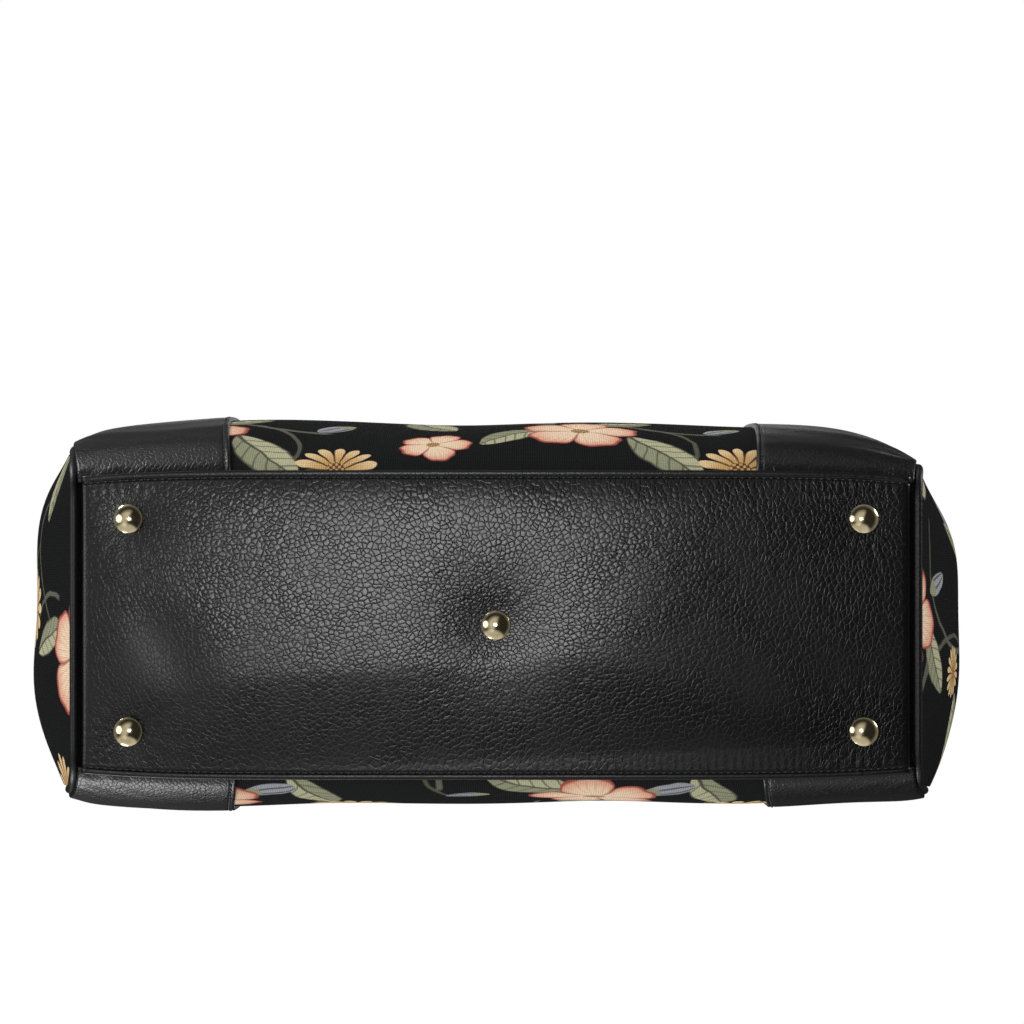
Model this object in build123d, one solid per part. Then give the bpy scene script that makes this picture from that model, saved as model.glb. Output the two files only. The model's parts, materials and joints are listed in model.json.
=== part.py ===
from build123d import *
from math import asin, atan, cos, degrees, pi, radians, sin, tan
import os

# Soft tote bag: a leather base on five dome feet, canvas walls with leather bands, piped gussets, a bound
# mouth and two rolled handles on swinging rings. Millimetres, +Z up. The bag stands on its feet with its
# lowest point at z = 0, its length along X and its front towards -Y.

# Plan of the walls at the foot, at their fullest height and at the mouth. Lengths and widths run between
# the corner seams, and a bow is how far a wall stands out beyond them in its middle.
base_length = 365.0
base_width = 123.0
base_bow = 3.1
base_end_bow = 0.0
belly_length = 404.0
belly_width = 172.0
belly_bow = 5.5
belly_end_bow = 17.0
mouth_length = 404.0
mouth_width = 100.0
mouth_bow = 16.0
mouth_end_bow = 3.0
belly_height = 105.0
body_height = 280.0
bow_power = 4
end_bow_power = 3.5

# Sheets and seams
canvas_thickness = 1.2
leather_thickness = 1.4
lining_thickness = 0.8
layer_gap = 0.3
lining_gap = 3.4
seam_gap = 0.8
piping_diameter = 3.8
piping_corner_radius = 4.0
base_band_width = 67.0
belly_band_width = 76.0
mouth_band_width = 70.0
band_gap = 0.5
binding_height = 38.0

# Base panel, its turned hem and the board inside
base_thickness = 2.4
hem_overlap = 2.0
hem_width = 2.2
hem_groove_width = 0.9
hem_groove_depth = 0.5
board_thickness = 2.0
board_inset = 3.0

# Feet and their washers
foot_diameter = 12.0
foot_height = 6.0
foot_flat_diameter = 4.0
foot_shank_diameter = 3.0
foot_rivet_height = 0.6
foot_inset_x = 23.5
foot_inset_y = 15.5
dimple_diameter = 34.0
dimple_seat_diameter = 12.6
dimple_depth = 0.9
washer_diameter = 11.0
washer_thickness = 0.8
bore_clearance = 0.1

# Tabs, rings and handles
tab_spacing = 176.0
tab_width = 16.0
tab_height = 33.0
tab_thickness = 2.4
tab_corner_radius = 3.0
tab_reach = 8.0
loop_wall = 1.4
loop_clearance = 0.3
ring_wire_diameter = 3.0
ring_width = 23.0
ring_rise = 15.0
ring_corner_radius = 3.5
handle_diameter = 11.0
handle_end_width = 16.0
handle_end_thickness = 6.2
handle_end_corner_radius = 2.5
handle_stem = 34.0
handle_leg = 85.0
handle_gap = 1.0

# Magnetic snap on the inside of the mouth
snap_diameter = 16.0
snap_thickness = 2.2
snap_stud_diameter = 7.0
snap_stud_height = 1.4
snap_gap = 0.2

# How many steps up the walls and how many spans across them their curves are drawn through
wall_steps = 10
binding_steps = 3
lining_steps = 6
piping_steps = 14
front_spans = 8
end_spans = 6
lining_spans = 6
piping_bend_share = 0.45
overrun = 2.0

# Heights and places that follow from the sizes above
base_bottom = foot_height - dimple_depth
base_top = base_bottom + base_thickness
board_top = base_top + board_thickness
shank_top = board_top + washer_thickness + foot_rivet_height
wall_foot = base_top + layer_gap
wall_top = wall_foot + body_height
piping_radius = piping_diameter / 2
piping_level = base_bottom + piping_radius + layer_gap
edge_margin = piping_radius + seam_gap
lining_floor = shank_top + layer_gap
binding_bottom = wall_top - binding_height
binding_outer = layer_gap + leather_thickness
binding_inner = canvas_thickness + layer_gap + leather_thickness
tab_inner = binding_outer + layer_gap
ring_radius = ring_wire_diameter / 2
loop_bore_radius = ring_radius + loop_clearance
loop_radius = loop_bore_radius + loop_wall
axis_level = wall_top + binding_outer + tab_reach


def at(height, foot, belly, mouth):
    """A plan size at a height: a quarter sine from foot to belly, then a quarter cosine to the mouth."""
    if height <= belly_height:
        return foot + (belly - foot) * sin(pi / 2 * height / belly_height)
    way = (height - belly_height) / (body_height - belly_height)
    return mouth + (belly - mouth) * cos(pi / 2 * way)


def corner_x(height):
    return at(height, base_length, belly_length, mouth_length) / 2


def corner_y(height):
    return at(height, base_width, belly_width, mouth_width) / 2


def front_point(x, height, out):
    """A point of the front wall, a distance out from its outer face."""
    bow = at(height, base_bow, belly_bow, mouth_bow)
    y = corner_y(height) + bow * (1 - abs(x / corner_x(height)) ** bow_power)
    return (x, -y - out, wall_foot + height)


def right_point(y, height, out):
    """A point of the right gusset, a distance out from its outer face."""
    bow = at(height, base_end_bow, belly_end_bow, mouth_end_bow)
    x = corner_x(height) + bow * (1 - abs(y / corner_y(height)) ** end_bow_power)
    return (x + out, y, wall_foot + height)


def run(start, end, spans):
    """Evenly spaced values from start to end."""
    return [start + (end - start) * k / spans for k in range(spans + 1)]


def slice_face(near, far):
    """A thin slice between two curves that run the same way."""
    outer = Spline(*near)
    inner = Spline(*reversed(far))
    return Face(Wire([outer, Line(outer @ 1, inner @ 0), inner, Line(inner @ 1, outer @ 0)]))


def front_sheet(left, right, inner, outer, low, high, steps=wall_steps):
    """A sheet of the front wall between two offsets and two levels; left and right give its ends at a height."""
    slices = []
    for height in run(low - wall_foot, high - wall_foot, steps):
        places = run(left(height), right(height), front_spans)
        near = [front_point(x, height, outer) for x in places]
        far = [front_point(x, height, inner) for x in places]
        slices.append(slice_face(near, far))
    return loft(slices)


def right_sheet(reach, inner, outer, low, high, steps=wall_steps):
    """A sheet of the right gusset between two offsets and two levels; reach gives its half-width at a height."""
    slices = []
    for height in run(low - wall_foot, high - wall_foot, steps):
        places = run(-reach(height), reach(height), end_spans)
        near = [right_point(y, height, outer) for y in places]
        far = [right_point(y, height, inner) for y in places]
        slices.append(slice_face(near, far))
    return loft(slices)


def to_back(shape):
    return mirror(shape, about=Plane.XZ)


def to_left(shape):
    return mirror(shape, about=Plane.YZ)


def seam_x(height):
    """Where the front and back walls end beside the piping."""
    return corner_x(height) - edge_margin


def seam_y(height):
    """Where the gussets end beside the piping."""
    return corner_y(height) - edge_margin


def band_start(height):
    """Where the bands begin on the front and back walls."""
    return corner_x(height) - at(height, base_band_width, belly_band_width, mouth_band_width)


def base_edge(x, inset):
    """A point of the base panel's long front edge, moved in by an inset."""
    bow = base_bow * (1 - abs(x / (base_length / 2)) ** bow_power)
    return (x, -base_width / 2 - bow - hem_overlap + inset, base_bottom)


base_end = base_length / 2 - edge_margin
foot_x = base_length / 2 - foot_inset_x
foot_y = base_width / 2 - foot_inset_y
foot_places = {
    "front_left": (-foot_x, -foot_y),
    "front_right": (foot_x, -foot_y),
    "back_left": (-foot_x, foot_y),
    "back_right": (foot_x, foot_y),
    "centre": (0, 0),
}


def base_panel():
    """The base leather with a groove beside each turned hem, and a dimple and a hole at each foot."""
    places = run(-base_end, base_end, front_spans)
    front = [base_edge(x, 0) for x in places]
    back = [(x, -y, z) for x, y, z in front]
    panel = extrude(slice_face(front, back), base_thickness, dir=(0, 0, 1))
    outer = [base_edge(x, hem_width) for x in places]
    inner = [base_edge(x, hem_width + hem_groove_width) for x in places]
    groove = extrude(slice_face(outer, inner), hem_groove_depth, dir=(0, 0, 1))
    panel -= groove
    panel -= to_back(groove)
    hole_radius = foot_shank_diameter / 2 + bore_clearance
    for x, y in foot_places.values():
        dimple = Cone(dimple_diameter / 2, dimple_seat_diameter / 2, dimple_depth)
        panel -= Pos(x, y, base_bottom + dimple_depth / 2) * dimple
        hole = Cylinder(hole_radius, base_thickness + overrun)
        panel -= Pos(x, y, base_bottom + base_thickness / 2) * hole
    return panel


def base_board():
    """The stiff board on the base panel, with a hole for each shank."""
    length = 2 * (base_end - board_inset)
    width = base_width - 2 * (canvas_thickness + board_inset)
    board = Pos(0, 0, base_top + board_thickness / 2) * Box(length, width, board_thickness)
    hole_radius = foot_shank_diameter / 2 + bore_clearance
    for x, y in foot_places.values():
        hole = Cylinder(hole_radius, board_thickness + overrun)
        board -= Pos(x, y, base_top + board_thickness / 2) * hole
    return board


def foot(x, y):
    """A dome with a small flat to stand on, and a shank that clamps the base panel to the board."""
    radius = foot_diameter / 2
    flat = foot_flat_diameter / 2
    knee = radius * cos(pi / 4)
    bulge = foot_height - foot_height * cos(pi / 4) ** 2
    dome = Spline(
        (radius, foot_height),
        ((radius + knee) / 2, bulge),
        (flat, 0),
        tangents=((0, -1), (-1, 0)),
    )
    profile = Wire(
        [
            dome,
            Line((flat, 0), (0, 0)),
            Line((0, 0), (0, foot_height)),
            Line((0, foot_height), (radius, foot_height)),
        ]
    )
    body = revolve(Plane.XZ * Face(profile), Axis.Z)
    shank = Cylinder(foot_shank_diameter / 2, shank_top - foot_height)
    body += Pos(0, 0, (shank_top + foot_height) / 2) * shank
    return Pos(x, y, 0) * body


def foot_washers():
    """One flat washer on each shank, on top of the board."""
    ring = Cylinder(washer_diameter / 2, washer_thickness)
    ring -= Cylinder(foot_shank_diameter / 2 + bore_clearance, washer_thickness + overrun)
    level = board_top + washer_thickness / 2
    return Compound([Pos(x, y, level) * ring.solid() for x, y in foot_places.values()])


def front_panel():
    """The front canvas, from the base panel to the mouth."""
    return front_sheet(lambda h: -seam_x(h), seam_x, -canvas_thickness, 0, wall_foot, wall_top)


def right_gusset():
    """The right canvas, from above the piping to the mouth."""
    return right_sheet(seam_y, -canvas_thickness, 0, piping_level + edge_margin, wall_top)


def front_right_band():
    """The leather band on the right end of the front canvas, from the base panel to the binding."""
    top = binding_bottom - layer_gap
    outer = band_gap + leather_thickness
    return front_sheet(band_start, seam_x, band_gap, outer, wall_foot, top)


def right_piping():
    """The round piping in the right gusset's seam: down the front corner, under the end and up the back."""
    heights = run(body_height, 0, piping_steps)[:-1]
    front = [Vector(corner_x(h), -corner_y(h), wall_foot + h) for h in heights]
    front.append(Vector(corner_x(0), -corner_y(0), piping_level))
    points = front + [Vector(p.X, -p.Y, p.Z) for p in reversed(front)]
    radii = []
    for before, point, after in zip(points, points[1:], points[2:]):
        turn = radians((point - before).get_angle(after - point))
        shorter = min((point - before).length, (after - point).length)
        bend = piping_bend_share * shorter / tan(turn / 2)
        sharp = point.Z == piping_level
        radii.append(min(bend, piping_corner_radius) if sharp else bend)
    path = FilletPolyline(*points, radius=radii)
    return sweep(Plane(path @ 0, z_dir=path % 0) * Circle(piping_radius), path=path)


def front_binding():
    """The leather folded over the front canvas at the mouth, an outer leaf, a top and an inner facing."""
    left = lambda h: -seam_x(h)
    top = wall_top + binding_outer
    fold = front_sheet(
        left, seam_x, -binding_inner, binding_outer, binding_bottom, top, binding_steps
    )
    slot_left = lambda h: -corner_x(h)
    slot_inner = -canvas_thickness - layer_gap
    slot = front_sheet(
        slot_left,
        corner_x,
        slot_inner,
        layer_gap,
        binding_bottom - overrun,
        wall_top + layer_gap,
        binding_steps,
    )
    return fold - slot


def right_binding():
    """The leather folded over the right canvas at the mouth."""
    reach = lambda h: seam_y(h) - leather_thickness
    top = wall_top + binding_outer
    fold = right_sheet(reach, -binding_inner, binding_outer, binding_bottom, top, binding_steps)
    slot_inner = -canvas_thickness - layer_gap
    slot_bottom = binding_bottom - overrun
    slot_top = wall_top + layer_gap
    slot = right_sheet(corner_y, slot_inner, layer_gap, slot_bottom, slot_top, binding_steps)
    return fold - slot


def pouch(inset, low, high):
    """The space inside the walls at an inset from their outer faces, between two levels."""
    slices = []
    for height in run(low - wall_foot, high - wall_foot, lining_steps):
        x = corner_x(height)
        y = corner_y(height)
        front = [front_point(p, height, -inset) for p in run(inset - x, x - inset, lining_spans)]
        right = [right_point(p, height, -inset) for p in run(inset - y, y - inset, lining_spans)]
        right[0] = front[-1]
        right[-1] = (front[-1][0], -front[-1][1], front[-1][2])
        back = [(-a, -b, c) for a, b, c in front]
        left = [(-a, -b, c) for a, b, c in right]
        slices.append(Face(Wire([Spline(*side) for side in (front, right, back, left)])))
    return loft(slices)


def lining():
    """The cloth pouch inside the canvas, closed at the bottom and ending under the binding's facing."""
    inset = canvas_thickness + lining_gap
    top = binding_bottom - layer_gap
    cloth = pouch(inset, lining_floor, top)
    room = pouch(inset + lining_thickness, lining_floor + lining_thickness, top + overrun)
    return cloth - room


tab_x = tab_spacing / 2
tab_middle = tab_inner + tab_thickness / 2
axis_y = front_point(tab_x, axis_level - wall_foot, tab_middle)[1]
handle_rise = ring_rise + handle_leg + tab_x
lean = degrees(asin((-axis_y - (handle_diameter + handle_gap) / 2) / handle_rise))


def bar(radius, length):
    """A round bar along X."""
    return Rot(0, 90, 0) * Cylinder(radius, length)


def front_right_tab():
    """The leather tab sewn to the binding's outer leaf, with the loop that holds the ring."""
    bottom = wall_top + binding_outer - tab_height
    plate = front_sheet(
        lambda h: tab_x - tab_width / 2,
        lambda h: tab_x + tab_width / 2,
        tab_inner,
        tab_inner + tab_thickness,
        bottom,
        axis_level,
        binding_steps,
    )
    outline = RectangleRounded(tab_width, 2 * (axis_level - bottom), tab_corner_radius)
    outline = Plane.XZ * Pos(tab_x, axis_level) * outline
    plate &= extrude(outline, mouth_width + belly_width, both=True)
    place = Pos(tab_x, axis_y, axis_level)
    plate += place * bar(loop_radius, tab_width)
    return plate - place * bar(loop_bore_radius, tab_width + overrun)


def leaned(shape):
    """A shape that stands on the front tabs' axis, leaned inwards to its rest."""
    return Pos(0, axis_y, axis_level) * Rot(-lean, 0, 0) * shape


def front_right_ring():
    """The rectangular wire ring, whose lower bar runs in the tab and upper bar in the handle."""
    outline = RectangleRounded(ring_width, ring_rise, ring_corner_radius)
    path = (Plane.XZ * Pos(tab_x, ring_rise / 2) * outline).wire()
    wire = sweep(Plane(path @ 0, z_dir=path % 0) * Circle(ring_radius), path=path)
    return leaned(wire)


def front_handle():
    """The rolled handle: two legs and a half circle, with flattened ends looped round the rings' upper bars."""
    shoulder = ring_rise + handle_leg
    start = ring_rise + handle_stem
    arch = Wire(
        [
            Line((tab_x, 0, start), (tab_x, 0, shoulder)),
            ThreePointArc((tab_x, 0, shoulder), (0, 0, shoulder + tab_x), (-tab_x, 0, shoulder)),
            Line((-tab_x, 0, shoulder), (-tab_x, 0, start)),
        ]
    )
    radius = handle_diameter / 2
    grip = sweep(Plane(arch @ 0, z_dir=arch % 0) * Circle(radius), path=arch)
    flat_end = RectangleRounded(handle_end_width, handle_end_thickness, handle_end_corner_radius)
    stem = loft([Pos(0, 0, ring_rise) * flat_end, Pos(0, 0, start) * Circle(radius)])
    eye = Pos(0, 0, ring_rise)
    for x in (tab_x, -tab_x):
        grip += Pos(x, 0, 0) * (stem + eye * bar(loop_radius, handle_end_width))
        grip -= Pos(x, 0, 0) * eye * bar(loop_bore_radius, handle_end_width + overrun)
    return leaned(grip)


def snap_half(stud):
    """One half of the snap, a disc on the front facing; a stud stands on one half and enters the other."""
    height = body_height - binding_height / 2
    here = Vector(front_point(0, height, -binding_inner - snap_gap))
    up = Vector(front_point(0, height + snap_diameter, -binding_inner - snap_gap)) - here
    tilt = degrees(atan(up.Y / up.Z))
    disc = Pos(0, 0, snap_thickness / 2) * Cylinder(snap_diameter / 2, snap_thickness)
    pin = Cylinder(snap_stud_diameter / 2, snap_stud_height)
    if stud:
        disc += Pos(0, 0, snap_thickness + snap_stud_height / 2) * pin
    else:
        socket = Cylinder(snap_stud_diameter / 2 + bore_clearance, snap_stud_height)
        disc -= Pos(0, 0, snap_thickness - snap_stud_height / 2) * socket
    return Pos(*here) * Rot(-90 - tilt, 0, 0) * disc


nodes = {
    "base_panel": base_panel(),
    "base_board": base_board(),
    "foot_washers": foot_washers(),
    "lining": lining(),
    "snap_socket": snap_half(False),
    "snap_stud": to_back(snap_half(True)),
}
for name, (x, y) in foot_places.items():
    nodes["foot_" + name] = foot(x, y)
for name, shape in {"panel": front_panel(), "top_binding": front_binding(), "handle": front_handle()}.items():
    nodes["front_" + name] = shape
    nodes["back_" + name] = to_back(shape)
for name, shape in {"gusset": right_gusset(), "piping": right_piping(), "top_binding": right_binding()}.items():
    nodes["right_" + name] = shape
    nodes["left_" + name] = to_left(shape)
for name, shape in {"band": front_right_band(), "tab": front_right_tab(), "ring": front_right_ring()}.items():
    nodes["front_right_" + name] = shape
    nodes["front_left_" + name] = to_left(shape)
    nodes["back_right_" + name] = to_back(shape)
    nodes["back_left_" + name] = to_left(to_back(shape))

os.makedirs("parts", exist_ok=True)
for name, shape in nodes.items():
    export_step(shape, os.path.join("parts", name + ".step"))
print("lean", round(lean, 3), "axis", round(axis_y, 3), round(axis_level, 3))
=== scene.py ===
import json
from functools import partialmethod
from math import cos, pi, radians, sin

import bmesh
import bpy
import numpy as np
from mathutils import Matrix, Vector


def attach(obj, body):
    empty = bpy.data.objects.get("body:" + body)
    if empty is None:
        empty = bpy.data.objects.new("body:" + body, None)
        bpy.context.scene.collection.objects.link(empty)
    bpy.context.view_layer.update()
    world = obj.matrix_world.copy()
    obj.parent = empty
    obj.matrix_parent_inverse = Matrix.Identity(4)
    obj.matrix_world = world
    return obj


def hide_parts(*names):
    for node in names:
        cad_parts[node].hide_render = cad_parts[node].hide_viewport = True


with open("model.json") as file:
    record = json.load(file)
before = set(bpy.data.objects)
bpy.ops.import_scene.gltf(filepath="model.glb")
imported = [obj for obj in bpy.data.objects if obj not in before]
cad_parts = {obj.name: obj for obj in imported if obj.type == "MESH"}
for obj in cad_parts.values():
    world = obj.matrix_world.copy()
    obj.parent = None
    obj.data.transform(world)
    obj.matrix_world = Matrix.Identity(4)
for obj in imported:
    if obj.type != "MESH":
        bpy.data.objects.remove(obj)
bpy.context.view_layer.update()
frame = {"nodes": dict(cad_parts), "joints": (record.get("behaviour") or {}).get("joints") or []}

# Sizes of the bag's walls in metres, as the solids have them: at the foot, at the belly and at the mouth
LENGTHS = (0.365, 0.404, 0.404)
WIDTHS = (0.123, 0.172, 0.100)
BOWS = (0.0031, 0.0055, 0.016)
END_BOWS = (0.0, 0.017, 0.003)
BAND_WIDTHS = (0.067, 0.076, 0.070)
BAND_EXTRAS = {
    "front_left": (0.0004, 0.0010, 0.0010),
    "front_right": (0.0025, 0.0055, 0.0030),
    "back_left": (0.0030, 0.0030, 0.0020),
    "back_right": (0.0, -0.0006, 0.0),
}
BELLY_HEIGHT = 0.105
BODY_HEIGHT = 0.280
FOOT_ROUND = 0.66
SUNK = {1: 0.0010, -1: 0.0022}
WALL_FULLNESS = {1: (0.0032, -0.128, 0.050), -1: (0.0006, -0.150, 0.060)}
CORNER_X = 0.207
CORNER_Y = 0.088
CORNER_ROUND = {(1, -1): 0.0050, (-1, -1): 0.0040, (1, 1): 0.0030, (-1, 1): 0.0055}
PIPING_SINK = 0.0017
BAND_MARGIN = 0.0010
BOW_POWER = 4
END_BOW_POWER = 3.5

# Sheets, seams and trim
CANVAS = 0.0012
LEATHER = 0.0014
LAYER_GAP = 0.0003
PIPING_RADIUS = 0.0019
SEAM_MARGIN = 0.0027
BAND_GAP = 0.0004
BINDING_HEIGHT = 0.038
FACING_INSET = 0.0013
LINING_INSET = 0.0050
LINING_FLOOR = 0.0112
LINING_THICK = 0.0008
LINING_ROWS = (46, 12)
PIPING_FLANGE = (0.0055, 0.0004)
PIPING_SAMPLES = 420
PIPING_OUT = 0.0007
BINDING_SETBACKS = (0.0018, 0.0022)
STITCH_PITCH = 0.0031
STITCH_INSET = 0.0024
STITCH_LENGTH = 0.0023
STITCH_WIDTH = 0.00042
STITCH_LIFT = 0.0003
STITCH_SLANT = 0.16
STITCH_SAMPLES = 600
EDGE_ROLL = 0.0009
CLOSE_STEP = 0.0004
CANVAS_GRID = 0.0034
BAND_GRID = 0.0022
BAND_FINE = 0.0042
CLOTH_SHARP = 50
TRIM_SHARP = 60
BASE_SHARP = 75
DOME_SHARP = 40
SNAP_SHARP = 35
TURN_COUNT = 48

# Base panel
BASE_BOTTOM = 0.0051
BASE_TOP = 0.0075
WALL_FOOT = 0.0078
HEM_OVERLAP = 0.0025
HEM_BOW_POWER = 6
HEM_WIDTH = 0.0027
HEM_GROOVE = 0.0031
GATHER = 0.008
EDGE_FOLD = 0.00005
HEM_ROUND = 0.0006
GROOVE_DEPTH = 0.00038
END_RISE = 0.0021
END_ROLL = 0.0026
FOOT_SEAT = 0.0060
LEATHER_SEAT = 0.0051
CAP_RADIUS = 0.0089
CAP_TILT = 44
FOOT_X = 0.159
FOOT_Y = 0.046
FEET = {
    "front_left": (-FOOT_X, -FOOT_Y),
    "front_right": (FOOT_X, -FOOT_Y),
    "back_left": (-FOOT_X, FOOT_Y),
    "back_right": (FOOT_X, FOOT_Y),
    "centre": (0.0, 0.0),
}

# Tabs, rings and handles
TAB_X = 0.088
TAB_WIDTH = 0.016
TAB_HEIGHT = 0.033
STRAP = 0.0016
LOOP_RADIUS = 0.0025
HANDLE_RADIUS = 0.0055
HANDLE_LEG = 0.085
HANDLE_START = 0.0045
HANDLE_FLAT = (0.0017, 0.0066)
HANDLE_SEAM_SHARE = 0.955
CUFF_LEAF = 0.030
CUFF_APART = 0.0048
CUFF_CORNER = 0.0045
TAB_CORNER = 0.0035

WALL_TOP = WALL_FOOT + BODY_HEIGHT
BASE_END = LENGTHS[0] / 2 - SEAM_MARGIN
JOINTS = {joint["name"]: joint for joint in frame["joints"]}
AXIS_Y = -JOINTS["front_ring_swing"]["pos_m"][1]
AXIS_Z = JOINTS["front_ring_swing"]["pos_m"][2]
PIN_Y = -JOINTS["front_handle_swing"]["pos_m"][1]
PIN_Z = JOINTS["front_handle_swing"]["pos_m"][2]
LEAN = np.arctan2(AXIS_Y - PIN_Y, PIN_Z - AXIS_Z)

SIDES = {"front": 1, "back": -1}
ENDS = {"right": 1, "left": -1}


def unit(v):
    """Vectors of length one."""
    return v / np.maximum(np.linalg.norm(v, axis=-1, keepdims=True), 1e-12)


def bump(distance, width):
    """A bell curve: one at no distance, falling over the width."""
    return np.exp(-((distance / width) ** 2))


def ramp(value, low, high):
    """A smooth step from zero at low to one at high."""
    t = np.clip((value - low) / (high - low), 0, 1)
    return t * t * (3 - 2 * t)


# Shapes of the walls


def at(h, sizes, roll=0):
    """A plan size at height h: a quarter sine from foot to belly, then a quarter cosine to the mouth. With
    roll, the lower part is a parabola raised to that power, so that the cloth rolls out over the base."""
    foot, belly, mouth = sizes
    rise = np.clip(h / BELLY_HEIGHT, 0, 1)
    rise = (1 - (1 - rise) ** 2) ** roll if roll else np.sin(pi / 2 * rise)
    lower = foot + (belly - foot) * rise
    way = np.maximum((h - BELLY_HEIGHT) / (BODY_HEIGHT - BELLY_HEIGHT), 0)
    upper = mouth + (belly - mouth) * np.cos(pi / 2 * way)
    return np.where(h <= BELLY_HEIGHT, lower, upper)


def corner_x(h):
    return at(h, LENGTHS) / 2


def corner_y(h):
    return at(h, WIDTHS, FOOT_ROUND) / 2


def seam_y(h):
    return corner_y(h) - SEAM_MARGIN


def wall_reach(h):
    """Where a wall's canvas ends, up to the piping."""
    return corner_x(h) - CANVAS - LAYER_GAP / 2


def binding_x(h):
    return corner_x(h) - BINDING_SETBACKS[0]


def binding_y(h):
    return corner_y(h) - BINDING_SETBACKS[1]


def band_start(h, corner):
    """Where a band begins, as a distance from the middle of its wall."""
    return corner_x(h) - at(h, BAND_WIDTHS) - at(h, BAND_EXTRAS[corner])


def slackness(h):
    """How free the cloth is to swell at height h: none at the foot and the mouth."""
    return ramp(h, 0, 0.035) * (1 - ramp(h, BODY_HEIGHT - 0.07, BODY_HEIGHT - 0.02))


def settled(points):
    """Points of the standing bag where its soft body has sunk: the front right corner goes in and back, the
    front left one a little, the back wall lies flatter to the right, and each corner is rounded off by
    drawing it in along y. The foot and the mouth stay."""
    x, y, z = np.moveaxis(points, -1, 0)
    free = slackness(z - WALL_FOOT)
    right = bump(x - 0.212, 0.038) * bump(y + 0.092, 0.055) * free
    left = bump(x + 0.210, 0.024) * bump(y + 0.092, 0.030) * free
    back = bump(x - 0.090, 0.110) * bump(y - 0.092, 0.040) * free
    aside = 0.0035 * left - 0.0050 * right
    inward = 0.0115 * right + 0.0030 * left - 0.0018 * back
    for (end, way), depth in CORNER_ROUND.items():
        near = bump(x - end * CORNER_X, 0.013) * bump(y - way * CORNER_Y, 0.030)
        inward = inward - way * depth * near * free
    return np.stack([x + aside, y + inward, z], -1)


def wall(side):
    """The front wall (side 1) or the back wall (side -1) as a function of x and height: the bowed plan
    curve, plus broad soft swells that differ between the two."""
    full, full_x, full_width = WALL_FULLNESS[side]

    def surface(x, h):
        share = np.clip(np.abs(x) / corner_x(h), 0, 1)
        y = corner_y(h) + at(h, BOWS, FOOT_ROUND) * (1 - share**BOW_POWER)
        swell = 0.0011 * np.sin(x / 0.043 + side) * np.sin(h / 0.055 + 1.2)
        swell = swell - SUNK[side] * bump(h - 0.065, 0.050)
        swell = swell + 0.0007 * np.sin(x / 0.021 - h / 0.034 + 2 * side)
        swell = swell + full * bump(x - full_x, full_width) * bump(h - 0.085, 0.075)
        y = y + swell * slackness(h) * (1 - share**6)
        return settled(np.stack([x + 0 * h, -side * y, WALL_FOOT + h + 0 * x], -1))

    return surface


def gusset(end):
    """The right gusset (end 1) or the left one (end -1) as a function of y and height: a round bulge
    between the corner seams with shallow vertical folds."""

    def surface(y, h):
        share = np.clip(np.abs(y) / corner_y(h), 0, 1)
        x = corner_x(h) + at(h, END_BOWS) * (1 - share**END_BOW_POWER)
        fold = 0.0007 * np.sin(y / 0.019 + h / 0.090 + end) + 0.0006 * np.sin(y / 0.011 - h / 0.060)
        x = x + fold * slackness(h) * (1 - share**4)
        return settled(np.stack([end * x, y + 0 * h, WALL_FOOT + h + 0 * y], -1))

    return surface


def normals(surface, outward, a, b):
    """Unit normals of a surface, turned to the outward side."""
    step = 2e-4
    across = surface(a + step, b) - surface(a - step, b)
    along = surface(a, b + step) - surface(a, b - step)
    n = unit(np.cross(across, along))
    return n * np.sign((n * np.array(outward)).sum(-1, keepdims=True))


def lift(surface, outward, a, b, out):
    """Points of a surface, moved out along its normals."""
    return surface(a, b) + np.asarray(out)[..., None] * normals(surface, outward, a, b)


def run_length(path):
    """The length along a path at each of its points."""
    return np.concatenate([[0], np.cumsum(np.linalg.norm(np.diff(path, axis=0), axis=1))])


def sampled(places, run, values):
    """Vectors known along a run, interpolated at other places on it."""
    return np.stack([np.interp(places, run, values[:, k]) for k in range(3)], -1)


# Meshes


def grid_faces(rows, columns, wrap=False):
    """Quads of a grid of points; with wrap, the last column joins the first."""
    across = columns if wrap else columns - 1
    r, c = np.meshgrid(np.arange(rows - 1), np.arange(across), indexing="ij")
    right = (c + 1) % columns
    quads = [r * columns + c, r * columns + right, (r + 1) * columns + right, (r + 1) * columns + c]
    return np.stack(quads, -1).reshape(-1, 4)


def tube_faces(rows, columns):
    """Quads of a grid whose last column joins the first, with both ends closed."""
    ends = [list(range(columns)), list(range((rows - 1) * columns, rows * columns))]
    return grid_faces(rows, columns, True).tolist() + ends


def make_object(name, points, faces, uv=None, sharp=CLOTH_SHARP):
    """A mesh object at the origin with its faces turned outwards, smooth but for its sharp edges."""
    mesh = bpy.data.meshes.new(name)
    mesh.from_pydata(np.asarray(points).reshape(-1, 3).tolist(), [], faces)
    if uv is not None:
        indices = np.zeros(len(mesh.loops), np.int32)
        mesh.loops.foreach_get("vertex_index", indices)
        layer = mesh.uv_layers.new(name="surface")
        layer.data.foreach_set("uv", np.asarray(uv, np.float32).reshape(-1, 2)[indices].ravel())
    work = bmesh.new()
    work.from_mesh(mesh)
    bmesh.ops.recalc_face_normals(work, faces=work.faces)
    work.to_mesh(mesh)
    work.free()
    mesh.shade_smooth()
    mesh.set_sharp_from_angle(angle=radians(sharp))
    piece = bpy.data.objects.new(name, mesh)
    bpy.context.scene.collection.objects.link(piece)
    return piece


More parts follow.
